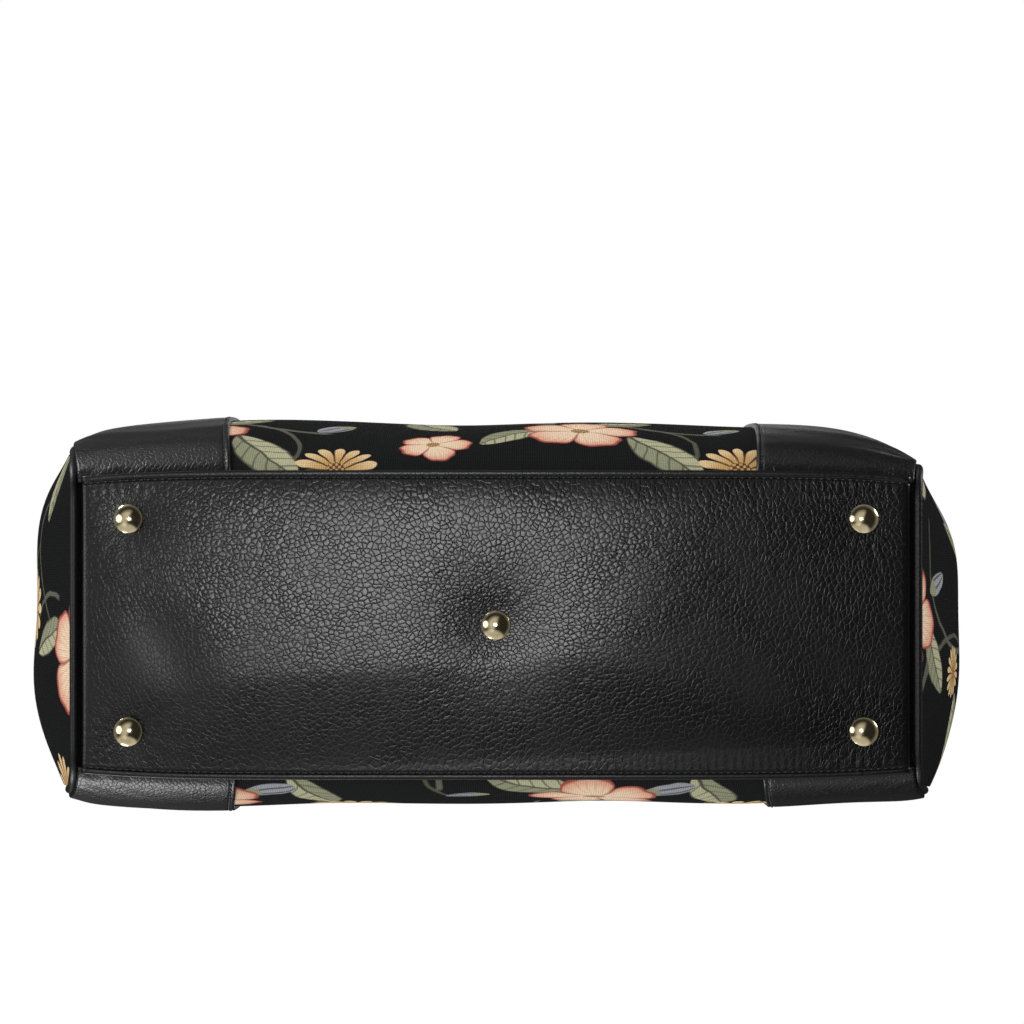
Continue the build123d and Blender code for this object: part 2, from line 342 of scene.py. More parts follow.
def slab(outer, inner, wrap=False):
    """Points and faces of the closed solid between two grids; wrap joins the grids' ends into a belt."""
    rows, columns = outer.shape[:2]
    count = rows * columns
    skin = grid_faces(rows, columns, wrap)
    index = np.arange(count).reshape(rows, columns)
    rims = [index[0], index[-1]]
    if not wrap:
        rims += [index[:, 0], index[:, -1]]
    faces = [skin, skin[:, ::-1] + count]
    for rim in rims:
        ring = np.append(rim, rim[0]) if wrap else rim
        faces.append(np.stack([ring[:-1], ring[1:], ring[1:] + count, ring[:-1] + count], -1))
    points = np.concatenate([outer.reshape(-1, 3), inner.reshape(-1, 3)])
    return points, np.concatenate(faces).tolist()


def lines(length, spacing, fine=EDGE_ROLL, margin=0.0):
    """Places from zero to a length, evenly spaced in the middle and close together where both edges roll
    and over a margin beside them."""
    edge = fine * np.array([0.0, 0.06, 0.25, 0.55, 1.0, 1.8])
    edge = np.append(edge, np.arange(edge[-1] + CLOSE_STEP, margin, CLOSE_STEP))
    middle = np.linspace(edge[-1], length - edge[-1], max(int(length / spacing), 3))
    return np.concatenate([edge[:-1], middle, length - edge[-2::-1]])


def rolled(distance, roll):
    """The height share of a rounded edge at a distance from it: a quarter circle, then flat."""
    return np.sqrt(1 - (1 - np.clip(distance / roll, 0.03, 1)) ** 2)


def patch(surface, outward, ends, heights, offsets, spacing, roll=EDGE_ROLL, relief=None, margin=0.0):
    """A sheet on a surface between two offsets, with rounded edges. ends are two functions of the height,
    and relief adds to the outer offset. Returns points, faces and a map of the sheet in metres."""
    left, right = ends
    low, high = heights
    inner, outer = offsets
    middle = (low + high) / 2
    across = lines(float(right(middle) - left(middle)), spacing, margin=margin)
    up = lines(high - low, spacing, margin=margin)
    share = across / across[-1]
    h = low + up[:, None] + 0 * share
    a = left(h) + (right(h) - left(h)) * share
    to_side = np.minimum(a - left(h), right(h) - a)
    to_end = np.minimum(h - low, high - h)
    height = rolled(to_side, roll) * rolled(to_end, roll)
    out = inner + (outer - inner) * height
    if relief is not None:
        out = out + relief(a, h) * height
    top = lift(surface, outward, a, h, out)
    bottom = lift(surface, outward, a, h, np.full_like(h, inner))
    points, faces = slab(top, bottom)
    flat = np.stack([a, h], -1)
    return points, faces, np.concatenate([flat.reshape(-1, 2)] * 2)


def carried(path, toward, profile):
    """A profile carried along a path. toward is the profile's first axis at each point, made square to the
    path; profile has its two coordinates, for all points alike or for each. Returns points, faces and a
    map."""
    tangent = unit(np.gradient(path, axis=0))
    first = unit(toward - (toward * tangent).sum(-1, keepdims=True) * tangent)
    second = np.cross(tangent, first)
    shape = np.broadcast_to(profile, (len(path),) + np.shape(profile)[-2:])
    points = path[:, None] + shape[..., :1] * first[:, None] + shape[..., 1:] * second[:, None]
    rows, columns = points.shape[:2]
    rim = np.linalg.norm(np.diff(shape, axis=1), axis=-1)
    turn = np.concatenate([np.zeros((rows, 1)), np.cumsum(rim, axis=1)], 1)
    uv = np.stack([turn, np.broadcast_to(run_length(path)[:, None], turn.shape)], -1)
    return points.reshape(-1, 3), tube_faces(rows, columns), uv.reshape(-1, 2)


def turned(profile, place, direction):
    """A profile of radius and height, turned about an axis through a place."""
    axis = unit(np.array(direction, float))
    side = unit(np.cross(axis, (0.31, 0.72, 0.53)))
    other = np.cross(axis, side)
    angle = np.arange(TURN_COUNT) * 2 * pi / TURN_COUNT
    radius, height = np.array(profile).T
    spoke = np.cos(angle)[:, None] * side + np.sin(angle)[:, None] * other
    points = np.array(place) + radius[:, None, None] * spoke + height[:, None, None] * axis
    return points.reshape(-1, 3), tube_faces(len(profile), TURN_COUNT)


def joined(*shapes):
    """Several shapes as one set of points, faces and map."""
    starts = np.cumsum([0] + [len(shape[0]) for shape in shapes])
    faces = [[k + int(start) for k in face] for start, shape in zip(starts, shapes) for face in shape[1]]
    points, maps = (np.concatenate([shape[k] for shape in shapes]) for k in (0, 2))
    return points, faces, maps


# Stitches


def sewn(line):
    """Places, directions and outward normals of the stitches along a line on a surface. line gives points
    and normals for values from zero to one."""
    points, up = line(np.linspace(0, 1, STITCH_SAMPLES))
    run = run_length(points)
    total = max(int(run[-1] / STITCH_PITCH), 1)
    middles = (np.arange(total) + 0.5) * run[-1] / total
    along = sampled(middles, run, np.gradient(points, axis=0))
    return sampled(middles, run, points), unit(along), unit(sampled(middles, run, up))


def stitches(name, runs, body):
    """Short threads along the runs: each is a six-sided pill that dips into the leather at its ends and
    lies a little across the line."""
    place, along, up = (np.concatenate(part) for part in zip(*[sewn(run) for run in runs]))
    lay = unit(along + STITCH_SLANT * np.cross(up, along))
    aside = np.cross(up, lay)
    share = np.array([-0.5, -0.4, -0.2, 0.2, 0.4, 0.5])
    fat = np.array([0.35, 0.85, 1.0, 1.0, 0.85, 0.35])
    sides = len(share)
    angle = np.arange(sides) * pi / 3
    sag = -0.9 * STITCH_WIDTH * (2 * np.abs(share)) ** 3
    forward = np.repeat(share * STITCH_LENGTH, sides)
    sideways = (fat[:, None] * STITCH_WIDTH * np.cos(angle)).ravel()
    upwards = (fat[:, None] * STITCH_WIDTH * np.sin(angle) + sag[:, None]).ravel()
    points = place[:, None] + forward[:, None] * lay[:, None]
    points = points + sideways[:, None] * aside[:, None] + upwards[:, None] * up[:, None]
    one = tube_faces(sides, sides)
    faces = [[k + sides**2 * n for k in face] for n in range(len(place)) for face in one]
    return finish_piece(make_object(name, points, faces), THREAD, body, "trim_leather")


def paint(piece, name, values):
    """A number at each point of a piece, for its material."""
    layer = piece.data.attributes.new(name, "FLOAT", "POINT")
    layer.data.foreach_set("value", np.asarray(values, np.float32).ravel())


def finish_piece(piece, material, body, slot, *nodes):
    """Gives a piece its material, its body and the solids that it stands for. Its slot is not used."""
    piece.data.materials.append(material)
    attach(piece, body)
    if nodes:
        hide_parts(*nodes)
    return piece


# Material nodes

CELL_RANDOMNESS = 0.90


def feed(socket, value):
    """Links a field to a socket, or sets the socket to a plain value."""
    if isinstance(value, Field):
        value.tree.links.new(value.socket, socket)
    else:
        socket.default_value = value


def dress(shader, **values):
    """Feeds a shader's sockets, named with underscores for spaces."""
    for name, value in values.items():
        feed(shader.inputs[name.replace("_", " ")], value)


class Field:
    """A socket of a node tree on which plain arithmetic makes the nodes."""

    def __init__(self, tree, socket):
        self.tree = tree
        self.socket = socket

    def node(self, kind, *values, out=0, named=(), **settings):
        """An output of a new node: its first sockets take the values, others are fed by name or number."""
        made = self.tree.nodes.new(kind)
        for key, value in settings.items():
            setattr(made, key, value)
        for socket, value in zip(made.inputs, values):
            feed(socket, value)
        for key, value in dict(named).items():
            feed(made.inputs[key], value)
        return Field(self.tree, made.outputs[out])

    def math(self, operation, *others):
        return self.node("ShaderNodeMath", self, *others, operation=operation)

    def vector(self, operation, *others, out=0, named=()):
        return self.node("ShaderNodeVectorMath", self, *others, out=out, named=named, operation=operation)

    def step(self, low, high):
        """A smooth step from zero at low to one at high, which may be fields."""
        return self.node("ShaderNodeMapRange", self, low, high, interpolation_type="SMOOTHSTEP")

    def parts(self):
        """The three parts of a vector."""
        made = self.node("ShaderNodeSeparateXYZ", self).socket.node
        return [Field(self.tree, socket) for socket in made.outputs]

    def stretched(self, x, y):
        """A vector with its first two parts scaled."""
        return self.vector("MULTIPLY", (x, y, 1.0))

    def turned(self, angle):
        """A vector turned about the third axis."""
        return self.node("ShaderNodeVectorRotate", self, named={"Angle": angle}, rotation_type="Z_AXIS")

    def noise(self, scale, detail=2.0, rough=0.5, out=0):
        """Noise at this place: its value, or its colour with out 1."""
        named = {"Vector": self, "Scale": scale, "Detail": detail, "Roughness": rough}
        return self.node("ShaderNodeTexNoise", out=out, named=named)

    def wobble(self, scale, size, rough=0.5):
        """A noise vector about zero, of a size."""
        shift = self.noise(scale, rough=rough, out=1).vector("SUBTRACT", (0.5, 0.5, 0.5))
        return shift.vector("SCALE", named={"Scale": size})

    def cells(self, scale):
        """The distance to the nearest border between cells."""
        named = {"Vector": self, "Scale": scale, "Randomness": CELL_RANDOMNESS}
        settings = {"feature": "DISTANCE_TO_EDGE", "voronoi_dimensions": "2D"}
        return self.node("ShaderNodeTexVoronoi", named=named, **settings)

    def blend(self, first, second):
        """Two colours mixed by this field."""
        return self.node("ShaderNodeMix", out=2, named={0: self, 6: first, 7: second}, data_type="RGBA")

    def flipped(self):
        """One less the field."""
        return self * -1.0 + 1.0

    def times(self, colour):
        """This colour multiplied by another."""
        named = {0: 1.0, 6: self, 7: colour}
        return self.node("ShaderNodeMix", out=2, named=named, data_type="RGBA", blend_type="MULTIPLY")


OPERATIONS = {
    "__add__": "ADD",
    "__sub__": "SUBTRACT",
    "__mul__": "MULTIPLY",
    "__truediv__": "DIVIDE",
    "sin": "SINE",
    "cos": "COSINE",
    "abs": "ABSOLUTE",
    "power": "POWER",
    "most": "MAXIMUM",
}
for method, operation in OPERATIONS.items():
    setattr(Field, method, partialmethod(Field.math, operation))


def rgb(red, green, blue):
    """A linear colour from screen values of 0 to 255."""
    c = np.array([red, green, blue]) / 255
    linear = np.where(c <= 0.04045, c / 12.92, ((c + 0.055) / 1.055) ** 2.4)
    return (*linear.tolist(), 1.0)


def new_material(name, **constants):
    """A material with a Principled shader, its constant sockets set, and the tree and shader."""
    material = bpy.data.materials.new(name)
    material.use_nodes = True
    tree = material.node_tree
    shader = tree.nodes["Principled BSDF"]
    dress(shader, **constants)
    return material, tree, shader


def coordinates(tree, source):
    """Where a pattern lies: the piece's own map in metres, or object coordinates."""
    if source == "map":
        made = tree.nodes.new("ShaderNodeUVMap")
        made.uv_map = "surface"
        return Field(tree, made.outputs[0])
    made = tree.nodes.new("ShaderNodeTexCoord")
    return Field(tree, made.outputs["Object"])


def attribute(tree, name):
    made = tree.nodes.new("ShaderNodeAttribute")
    made.attribute_name = name
    return Field(tree, made.outputs["Fac"])


def relief(shader, height, depth):
    """Bump of a height field, depth metres deep, on a shader."""
    named = {"Strength": 1.0, "Distance": depth, "Height": height}
    dress(shader, Normal=height.node("ShaderNodeBump", named=named))


def pebbled_leather(name, cell, depth, dark, light, rough):
    """Black leather: rounded pebbles between creases, from warped cells, with the creases painted darker as
    shade, broad gloss patches and a fine pore grain. The attribute slack flattens the pebbles."""
    material, tree, shader = new_material(name, Specular_IOR_Level=0.42)
    place = coordinates(tree, "map")
    warp = place.wobble(0.55 / cell, 0.8 * cell, 0.6)
    edge = place.vector("ADD", warp).turned(0.5).cells(1 / cell)
    crease = edge.step(0.0, 0.13)
    dome = edge.step(0.0, 0.46)
    patchy = place.noise(0.10 / cell, 1.0).step(0.35, 0.7)
    fine = place.noise(6 / cell)
    broken = place.noise(0.7 / cell, 1.0).step(0.32, 0.62)
    height = (crease * (broken * 0.42 + 0.22) + dome * 0.30) * (patchy * 0.35 + 0.65) + fine * 0.02
    smooth = attribute(tree, "slack")
    height = height * (smooth * -0.9 + 1.0)
    tone = place.noise(0.03 / cell).step(0.3, 0.75) * 0.3 + 0.7
    gloss = crease * -0.12 + fine * 0.08 - patchy * 0.03 + smooth * 0.07 + (rough + 0.10)
    # Painted shade: the creases take the dark colour and the pebble tops the light one, over a random tone.
    dress(shader, Base_Color=(crease * tone).blend(dark, light), Roughness=gloss)
    relief(shader, height, depth)
    return material


def thread_material():
    """Waxed black thread: fine twist lines across it, painted lighter and darker as the light and shade of
    its twisted plies.
    """
    material, tree, shader = new_material("waxed_thread", Roughness=0.45)
    x, y, z = coordinates(tree, "object").parts()
    twist = ((x + y + z) * 9000.0).sin()
    # Painted light and shade: the twist lines are lighter on the plies' crests and darker between them.
    dress(shader, Base_Color=twist.step(-1.0, 1.0).blend(rgb(12, 12, 13), rgb(42, 42, 44)))
    return material


def plated_metal():
    """Pale gold plate: bright polish with faint swirl marks and soft smudges."""
    material, tree, shader = new_material("pale_gold_plate", Metallic=1.0)
    place = coordinates(tree, "object")
    smudge = place.noise(320.0, 3.0)
    swirl = place.stretched(1.0, 6.0).noise(2200.0)
    colour = smudge.step(0.3, 0.75).blend(rgb(236, 222, 184), rgb(214, 196, 152))
    dress(shader, Base_Color=colour, Roughness=smudge * 0.10 + swirl * 0.06 + 0.06)
    relief(shader, swirl, 4e-6)
    return material


def steel_material():
    """Plain washer steel with a fine brushed grain."""
    material, tree, shader = new_material("washer_steel", Metallic=1.0)
    grain = coordinates(tree, "object").stretched(1.0, 30.0).noise(900.0)
    dress(shader, Base_Color=grain.blend(rgb(150, 150, 152), rgb(196, 196, 198)), Roughness=grain * 0.2 + 0.3)
    return material


def board_material():
    """Grey fibre board with a mottled felt of fibres."""
    material, tree, shader = new_material("fibre_board", Roughness=0.9)
    fibre = coordinates(tree, "object").noise(700.0, 4.0, 0.7)
    dress(shader, Base_Color=fibre.blend(rgb(52, 50, 47), rgb(96, 92, 86)))
    return material


def weave(place, pitch):
    """A plain weave's height: where two thread waves agree in sign the warp is on top, else the weft."""
    u, v = place.parts()[:2]
    warp = (u * (pi / pitch)).sin()
    weft = (v * (pi / pitch)).sin()
    over = (warp * weft * 4.0).step(-1.0, 1.0)
    return over * warp.abs() + over.flipped() * weft.abs()


def lining_material():
    """Plain beige cotton: a fine weave with uneven threads, and the weave's light and shade painted into its
    colour.
    """
    material, tree, shader = new_material("lining_cotton", Roughness=0.85, Sheen_Weight=0.15)
    place = coordinates(tree, "map")
    threads = weave(place, LINING_PITCH)
    slub = place.stretched(1.0, 12.0).noise(180.0)
    # Painted light and shade of the weave, lighter on the thread crests, with the real unevenness of the
    # slubs and a random tone.
    shade = threads * 0.25 + slub * 0.5 + place.noise(14.0) * 0.25
    dress(shader, Base_Color=shade.blend(rgb(150, 128, 100), rgb(196, 174, 144)))
    relief(shader, threads, 0.00012)
    return material


# The printed pattern. Each motif is a group that takes a place on the cloth, the motif's centre, its turn
# and its size, and gives a colour and a mask. Places wrap round the tile, so every motif repeats without a
# cut.

TILE = (0.176, 0.214)
CANVAS_PITCH = 0.0010
LINING_PITCH = 0.0007
INK = 0.0005
GROUND = rgb(15, 16, 16)
CREAM = rgb(232, 206, 176)
BLUSH = rgb(216, 150, 124)
ROSE = rgb(158, 78, 70)
SAGE = rgb(142, 143, 116)
MOSS = rgb(78, 80, 63)
PALE_SAGE = rgb(176, 174, 142)
OCHRE = rgb(196, 156, 100)
STRAW = rgb(220, 190, 142)
UMBER = rgb(92, 66, 44)
STEM = rgb(96, 97, 86)
DOVE = rgb(150, 151, 156)
DOVE_DARK = rgb(88, 90, 97)


def motif(name, draw):
    """A node group around a drawing function, which is given the turned place in units of the motif's size
    and the width of a soft edge, and returns a colour and a mask."""
    tree = bpy.data.node_groups.new(name, "ShaderNodeTree")
    for port, kind in (("Place", "Vector"), ("Centre", "Vector"), ("Turn", "Float"), ("Size", "Float")):
        tree.interface.new_socket(port, in_out="INPUT", socket_type="NodeSocket" + kind)
    for port, kind in (("Colour", "Color"), ("Mask", "Float")):
        tree.interface.new_socket(port, in_out="OUTPUT", socket_type="NodeSocket" + kind)
    given = tree.nodes.new("NodeGroupInput")
    place, centre, turn, size = (Field(tree, given.outputs[k]) for k in range(4))
    half = (TILE[0] / 2, TILE[1] / 2, 1.0)
    away = place.vector("SUBTRACT", centre).vector("WRAP", half, tuple(-k for k in half))
    x, y = away.parts()[:2]
    across = (x * turn.cos() + y * turn.sin()) / size
    along = (y * turn.cos() - x * turn.sin()) / size
    result = tree.nodes.new("NodeGroupOutput")
    for port, drawn in zip(result.inputs, draw(across, along, (size / INK).power(-1.0))):
        feed(port, drawn)
    return tree


def inside(edge, value, soft):
    """A mask: one where value is under edge, with a soft rim."""
    return (edge - value).step(soft * -1.0, soft)


def polar(x, y):
    radius = (x * x + y * y).power(0.5)
    return radius, y.math("ARCTAN2", x)


def draw_blossom(x, y, soft):
    """Five broad round petals: the rim is a rectified cosine of the angle. Cream to blush towards the rim,
    fine rose veins, a rose seam between petals and an ochre eye."""
    radius, angle = polar(x, y)
    lobe = (angle * 2.5).cos().abs().power(0.45)
    rim = lobe * 0.36 + 0.62 + (angle * 15.0).sin() * 0.018
    share = radius / rim
    veins = (angle * 35.0).sin().step(0.55, 1.0) * share.step(0.25, 0.7) * 0.55
    body = share.step(0.62, 1.02).blend(CREAM, BLUSH)
    body = veins.blend(body, BLUSH)
    seam = lobe.flipped().step(0.42, 0.75) * share.step(0.12, 0.4)
    body = (seam * 0.8).blend(body, ROSE)
    body = share.step(0.90, 0.97).blend(body, ROSE)
    eye = inside(radius * 0.0 + 0.17, radius, soft)
    dots = (angle * 9.0).sin() * (radius * 60.0).sin()
    body = eye.blend(body, dots.step(-0.2, 0.4).blend(OCHRE, UMBER))
    return body, inside(rim, radius, soft)


def draw_daisy(x, y, soft):
    """Fourteen slim ochre rays round a dark dotted button."""
    radius, angle = polar(x, y)
    ray = (angle * 7.0).cos().abs()
    rim = ray.power(0.5) * 0.55 + 0.42
    share = radius / rim
    body = share.step(0.35, 0.95).blend(OCHRE, STRAW)
    body = ray.flipped().step(0.35, 0.8).blend(body, UMBER)
    button = inside(radius * 0.0 + 0.26, radius, soft)
    dots = (x * 42.0).sin() * (y * 42.0).sin()
    body = button.blend(body, dots.step(-0.1, 0.3).blend(UMBER, OCHRE))
    return body, inside(rim, radius, soft)


def draw_leaf(x, y, soft):
    """A smooth oval leaf along y with a slight bend: sage with a pale half, a dark midrib and slanting
    veins."""
    bend = x - y * y * 0.12
    belly = (y * y).flipped().most(0.0)
    rim = belly.power(0.85) * 0.40
    body = bend.step(-0.06, 0.06).blend(SAGE, PALE_SAGE)
    slant = ((y + bend.abs() * 0.9) * 21.0).sin().step(0.72, 1.0)
    body = (slant * 0.7).blend(body, MOSS)
    midrib = inside(y * 0.012 + 0.026, bend.abs(), soft)
    body = midrib.blend(body, MOSS)
    body = (bend.abs() / rim.most(0.02)).step(0.84, 0.98).blend(body, MOSS)
    return body, inside(rim, bend.abs(), soft) * belly.step(0.0, 0.08)


def draw_bud(x, y, soft):
    """A closed oval bud along y in dove grey, streaked, in a short sage cup."""
    belly = (y * y).flipped().most(0.0)
    rim = belly.power(0.6) * 0.46
    streak = ((x / rim.most(0.05)) * 7.0).sin().step(0.2, 0.9)
    body = streak.blend(DOVE, DOVE_DARK)
    cup = inside(x * x * -1.2 - 0.25, y, soft)
    body = cup.blend(body, SAGE)
    return body, inside(rim, x.abs(), soft) * belly.step(0.0, 0.08)


def draw_stem(x, y, soft):
    """A thin stem on three eighths of a circle, tapering to one end."""
    radius, angle = polar(x, y)
    width = angle * 0.006 + 0.022
    ring = inside(width, (radius - 1.0).abs(), soft)
    part = angle.step(-1.1, -1.0) * (angle * -1.0).step(-1.3, -1.2)
    return angle.step(-1.1, 1.3).blend(MOSS, STEM), ring * part


# Where the motifs of one tile lie, as shares of the tile, with their turn in degrees and size in metres;
# later ones lie over earlier ones
LAYOUT = (
    ("stem", 0.30, 0.18, 15, 0.046),
    ("stem", 0.62, 0.55, 200, 0.052),
    ("stem", 0.84, 0.90, 120, 0.040),
    ("stem", 0.12, 0.62, 300, 0.044),
    ("stem", 0.50, 0.86, 60, 0.034),
    ("leaf", 0.47, 0.16, 38, 0.026),
    ("leaf", 0.10, 0.26, -52, 0.021),
    ("leaf", 0.38, 0.42, 118, 0.019),
    ("leaf", 0.88, 0.44, 20, 0.027),
    ("leaf", 0.60, 0.64, -74, 0.023),
    ("leaf", 0.06, 0.70, 160, 0.024),
    ("leaf", 0.30, 0.94, 84, 0.022),
    ("leaf", 0.72, 0.92, -20, 0.020),
    ("bud", 0.64, 0.36, 140, 0.012),
    ("bud", 0.18, 0.46, 25, 0.011),
    ("bud", 0.94, 0.66, 250, 0.013),
    ("bud", 0.44, 0.70, 80, 0.010),
    ("daisy", 0.66, 0.10, 10, 0.019),
    ("daisy", 0.14, 0.88, 35, 0.021),
    ("daisy", 0.42, 0.56, 0, 0.012),
    ("blossom", 0.27, 0.30, 8, 0.027),
    ("blossom", 0.76, 0.74, 41, 0.030),
    ("blossom", 0.90, 0.20, 66, 0.017),
)


def printed_canvas(name, shift, motifs):
    """Black canvas with the printed pattern, moved by a shift: the motifs over the ground, broken up by the
    plain weave, with painted highlights on the thread crests and painted shade between them, and uneven
    threads. The attribute seam hides the print where a seam covers it."""
    material, tree, shader = new_material(name, Roughness=0.82, Specular_IOR_Level=0.06)
    place = coordinates(tree, "map")
    moved = place.vector("ADD", (*shift, 0.0))
    moved = moved.vector("ADD", moved.wobble(60.0, 0.004))
    threads = weave(place, CANVAS_PITCH)
    # Painted highlights and shade of the weave: the black ground is lighter on the thread crests and darker
    # between them.
    colour = threads.step(0.2, 0.95).blend(rgb(6, 6, 7), rgb(27, 28, 28))
    for kind, x, y, turn, size in LAYOUT:
        group = tree.nodes.new("ShaderNodeGroup")
        group.node_tree = motifs[kind]
        for port, value in zip(group.inputs, (moved, (x * TILE[0], y * TILE[1], 0.0), radians(turn), size)):
            feed(port, value)
        colour = Field(tree, group.outputs["Mask"]).blend(colour, Field(tree, group.outputs["Colour"]))
    colour = attribute(tree, "seam").blend(colour, GROUND)
    # The colour is multiplied by painted weave shade, lighter on the thread crests, and by the real
    # unevenness of the slubbed threads.
    slub = place.stretched(1.0, 9.0).noise(210.0) * 0.5 + place.stretched(9.0, 1.0).noise(190.0) * 0.5
    shade = threads.step(0.1, 0.9) * 0.34 + slub * 0.44
    weave_shade_and_slub = shade.blend((0.42, 0.42, 0.42, 1.0), (1.2, 1.2, 1.2, 1.0))
    dress(shader, Base_Color=colour.times(weave_shade_and_slub))
    relief(shader, threads + slub * 0.6, 0.00022)
    return material


# The first colour of each leather is the painted shade in its creases, the second the colour of its pebble
# tops.
BASE_GRAIN = pebbled_leather("base_leather", 0.0026, 0.00010, rgb(1, 1, 2), rgb(10, 10, 12), 0.21)
TRIM_GRAIN = pebbled_leather("trim_leather", 0.0021, 0.00014, rgb(2, 2, 3), rgb(12, 12, 14), 0.34)
THREAD = thread_material()
GOLD = plated_metal()
LINING = lining_material()
MOTIFS = {}
for draw in (draw_blossom, draw_daisy, draw_leaf, draw_bud, draw_stem):
    kind = draw.__name__.removeprefix("draw_")
    MOTIFS[kind] = motif(kind, draw)
SHIFTS = {"front": (0.010, 0.020), "back": (0.090, 0.130), "right": (0.050, 0.070), "left": (0.120, 0.160)}
CANVASES = {place: printed_canvas(place + "_canvas", shift, MOTIFS) for place, shift in SHIFTS.items()}


# Base panel


def base_edge(x):
    """Half the base panel's width at x."""
    bow = BOWS[0] * (1 - np.clip(np.abs(x) / (LENGTHS[0] / 2), 0, 1) ** HEM_BOW_POWER)
    return WIDTHS[0] / 2 + bow + HEM_OVERLAP


def base_crown(x, y):
    """How far the leather puffs down from its flat level: the soft lower bound of four slopes, one from
    each edge, that meet in rounded ridges off the middle, with a shallow trough at the left end."""
    to_end = np.maximum(BASE_END - np.abs(x), 0)
    to_hem = np.maximum(base_edge(x) - np.abs(y) - HEM_WIDTH, 0)
    cushion = (1 - np.exp(-to_end / 0.008)) * (1 - np.exp(-to_hem / 0.007))
    front = 0.0009 + 0.016 * (y + 0.064) + 0.002 * (x + 0.180)
    back = 0.0003 + 0.060 * (0.0536 - y) - 0.003 * x
    right = 0.0002 + 0.0030 * (1 - ramp(x, -0.010, 0.180))
    left = 0.0010 + 0.040 * (x + 0.178)
    soft = 0.00018
    slopes = -soft * np.log(sum(np.exp(-slope / soft) for slope in (front, back, right, left)))
    trough = bump(x + 0.148 - 0.010 * np.sin(y / 0.020), 0.015) * bump(y - 0.010, 0.028)
    return np.maximum(slopes, 0) * cushion - 0.0008 * trough


def base_surface(x, y):
    """The base leather as a function of x and y: the crown, a dimple at each foot with radial puckers,
    short puckers square to the hems and ends, the round turned hems with a stitch groove, and the ends
    rolled up."""
    drop = base_crown(x, y)
    for name, (fx, fy) in FEET.items():
        dx, dy = x - fx, y - fy
        r = np.hypot(dx, dy)
        angle = np.arctan2(dy, dx)
        depth = base_crown(np.array(fx), np.array(fy)) + LEATHER_SEAT - BASE_BOTTOM
        wide = 0.023 if name == "centre" else 0.012
        drop = drop - depth * np.exp(-((np.maximum(r - 0.005, 0) / wide) ** 1.2))
        folds = np.sin(17 * angle + fx * 40 + 1.3 * np.sin(2 * angle + fy * 30))
        drop = drop + (0.00003 if name == "centre" else 0.00004) * folds * bump(r - 0.013, 0.007)
    to_end = np.maximum(BASE_END - np.abs(x), 0)
    to_hem = np.maximum(base_edge(x) - np.abs(y), 0)
    near_corner = 0.40 + 0.60 * bump(np.abs(x) - FOOT_X, 0.035)
    hem_fold = np.sin(x / 0.00056 + 2.0 * np.sin(x / 0.011) + 0.7 * np.sign(y))
    drop = drop + EDGE_FOLD * near_corner * hem_fold * bump(to_hem - 0.0065, 0.0045)
    side_corner = 0.20 + 0.80 * bump(np.abs(y) - FOOT_Y, 0.020)
    end_fold = np.sin(y / 0.00060 + 1.8 * np.sin(y / 0.009) + 0.9 * np.sign(x))
    drop = drop + EDGE_FOLD * side_corner * end_fold * bump(to_end - 0.006, 0.0055)
    across = (to_hem - HEM_WIDTH / 2) / (HEM_WIDTH / 2)
    hem = HEM_ROUND * np.sqrt(np.maximum(1 - np.abs(across) ** 2.4, 0))
    groove = GROOVE_DEPTH * bump(to_hem - HEM_GROOVE, 0.00045)
    end_edge = END_RISE * (1 - rolled(to_end, END_ROLL))
    level = BASE_BOTTOM - drop + groove - hem + end_edge
    return np.stack([x + 0 * y, y + 0 * x, np.minimum(level, BASE_TOP - 0.0001)], -1)


def base_slack(x, y):
    """How smooth the leather is pulled: at the corners and along the hems, and low along the back hem."""
    to_hem = base_edge(x) - np.abs(y)
    corner = bump(np.abs(x) - BASE_END, 0.020) * bump(np.abs(y) - 0.058, 0.016)
    back = ramp(y, 0.036, 0.056) * (1 - 0.6 * bump(np.abs(x) - FOOT_X, 0.05))
    left = bump(x + 0.150, 0.016) * bump(y - 0.010, 0.030)
    foot = sum(bump(np.hypot(x - fx, y - fy), 0.026) for fx, fy in FEET.values())
    calm = 0.34 * ramp(x, 0.04, 0.12) + 0.30 * ramp(y, -0.004, 0.018) * (1 - bump(x, 0.07) * 0.4)
    slack = 0.15 * corner + 0.30 * back + 0.5 * left + bump(to_hem, 0.0026) + calm * (1 - np.clip(foot, 0, 1))
    slack = slack + bump(BASE_END - np.abs(x), 0.0020)
    return np.clip(slack, 0, 1)


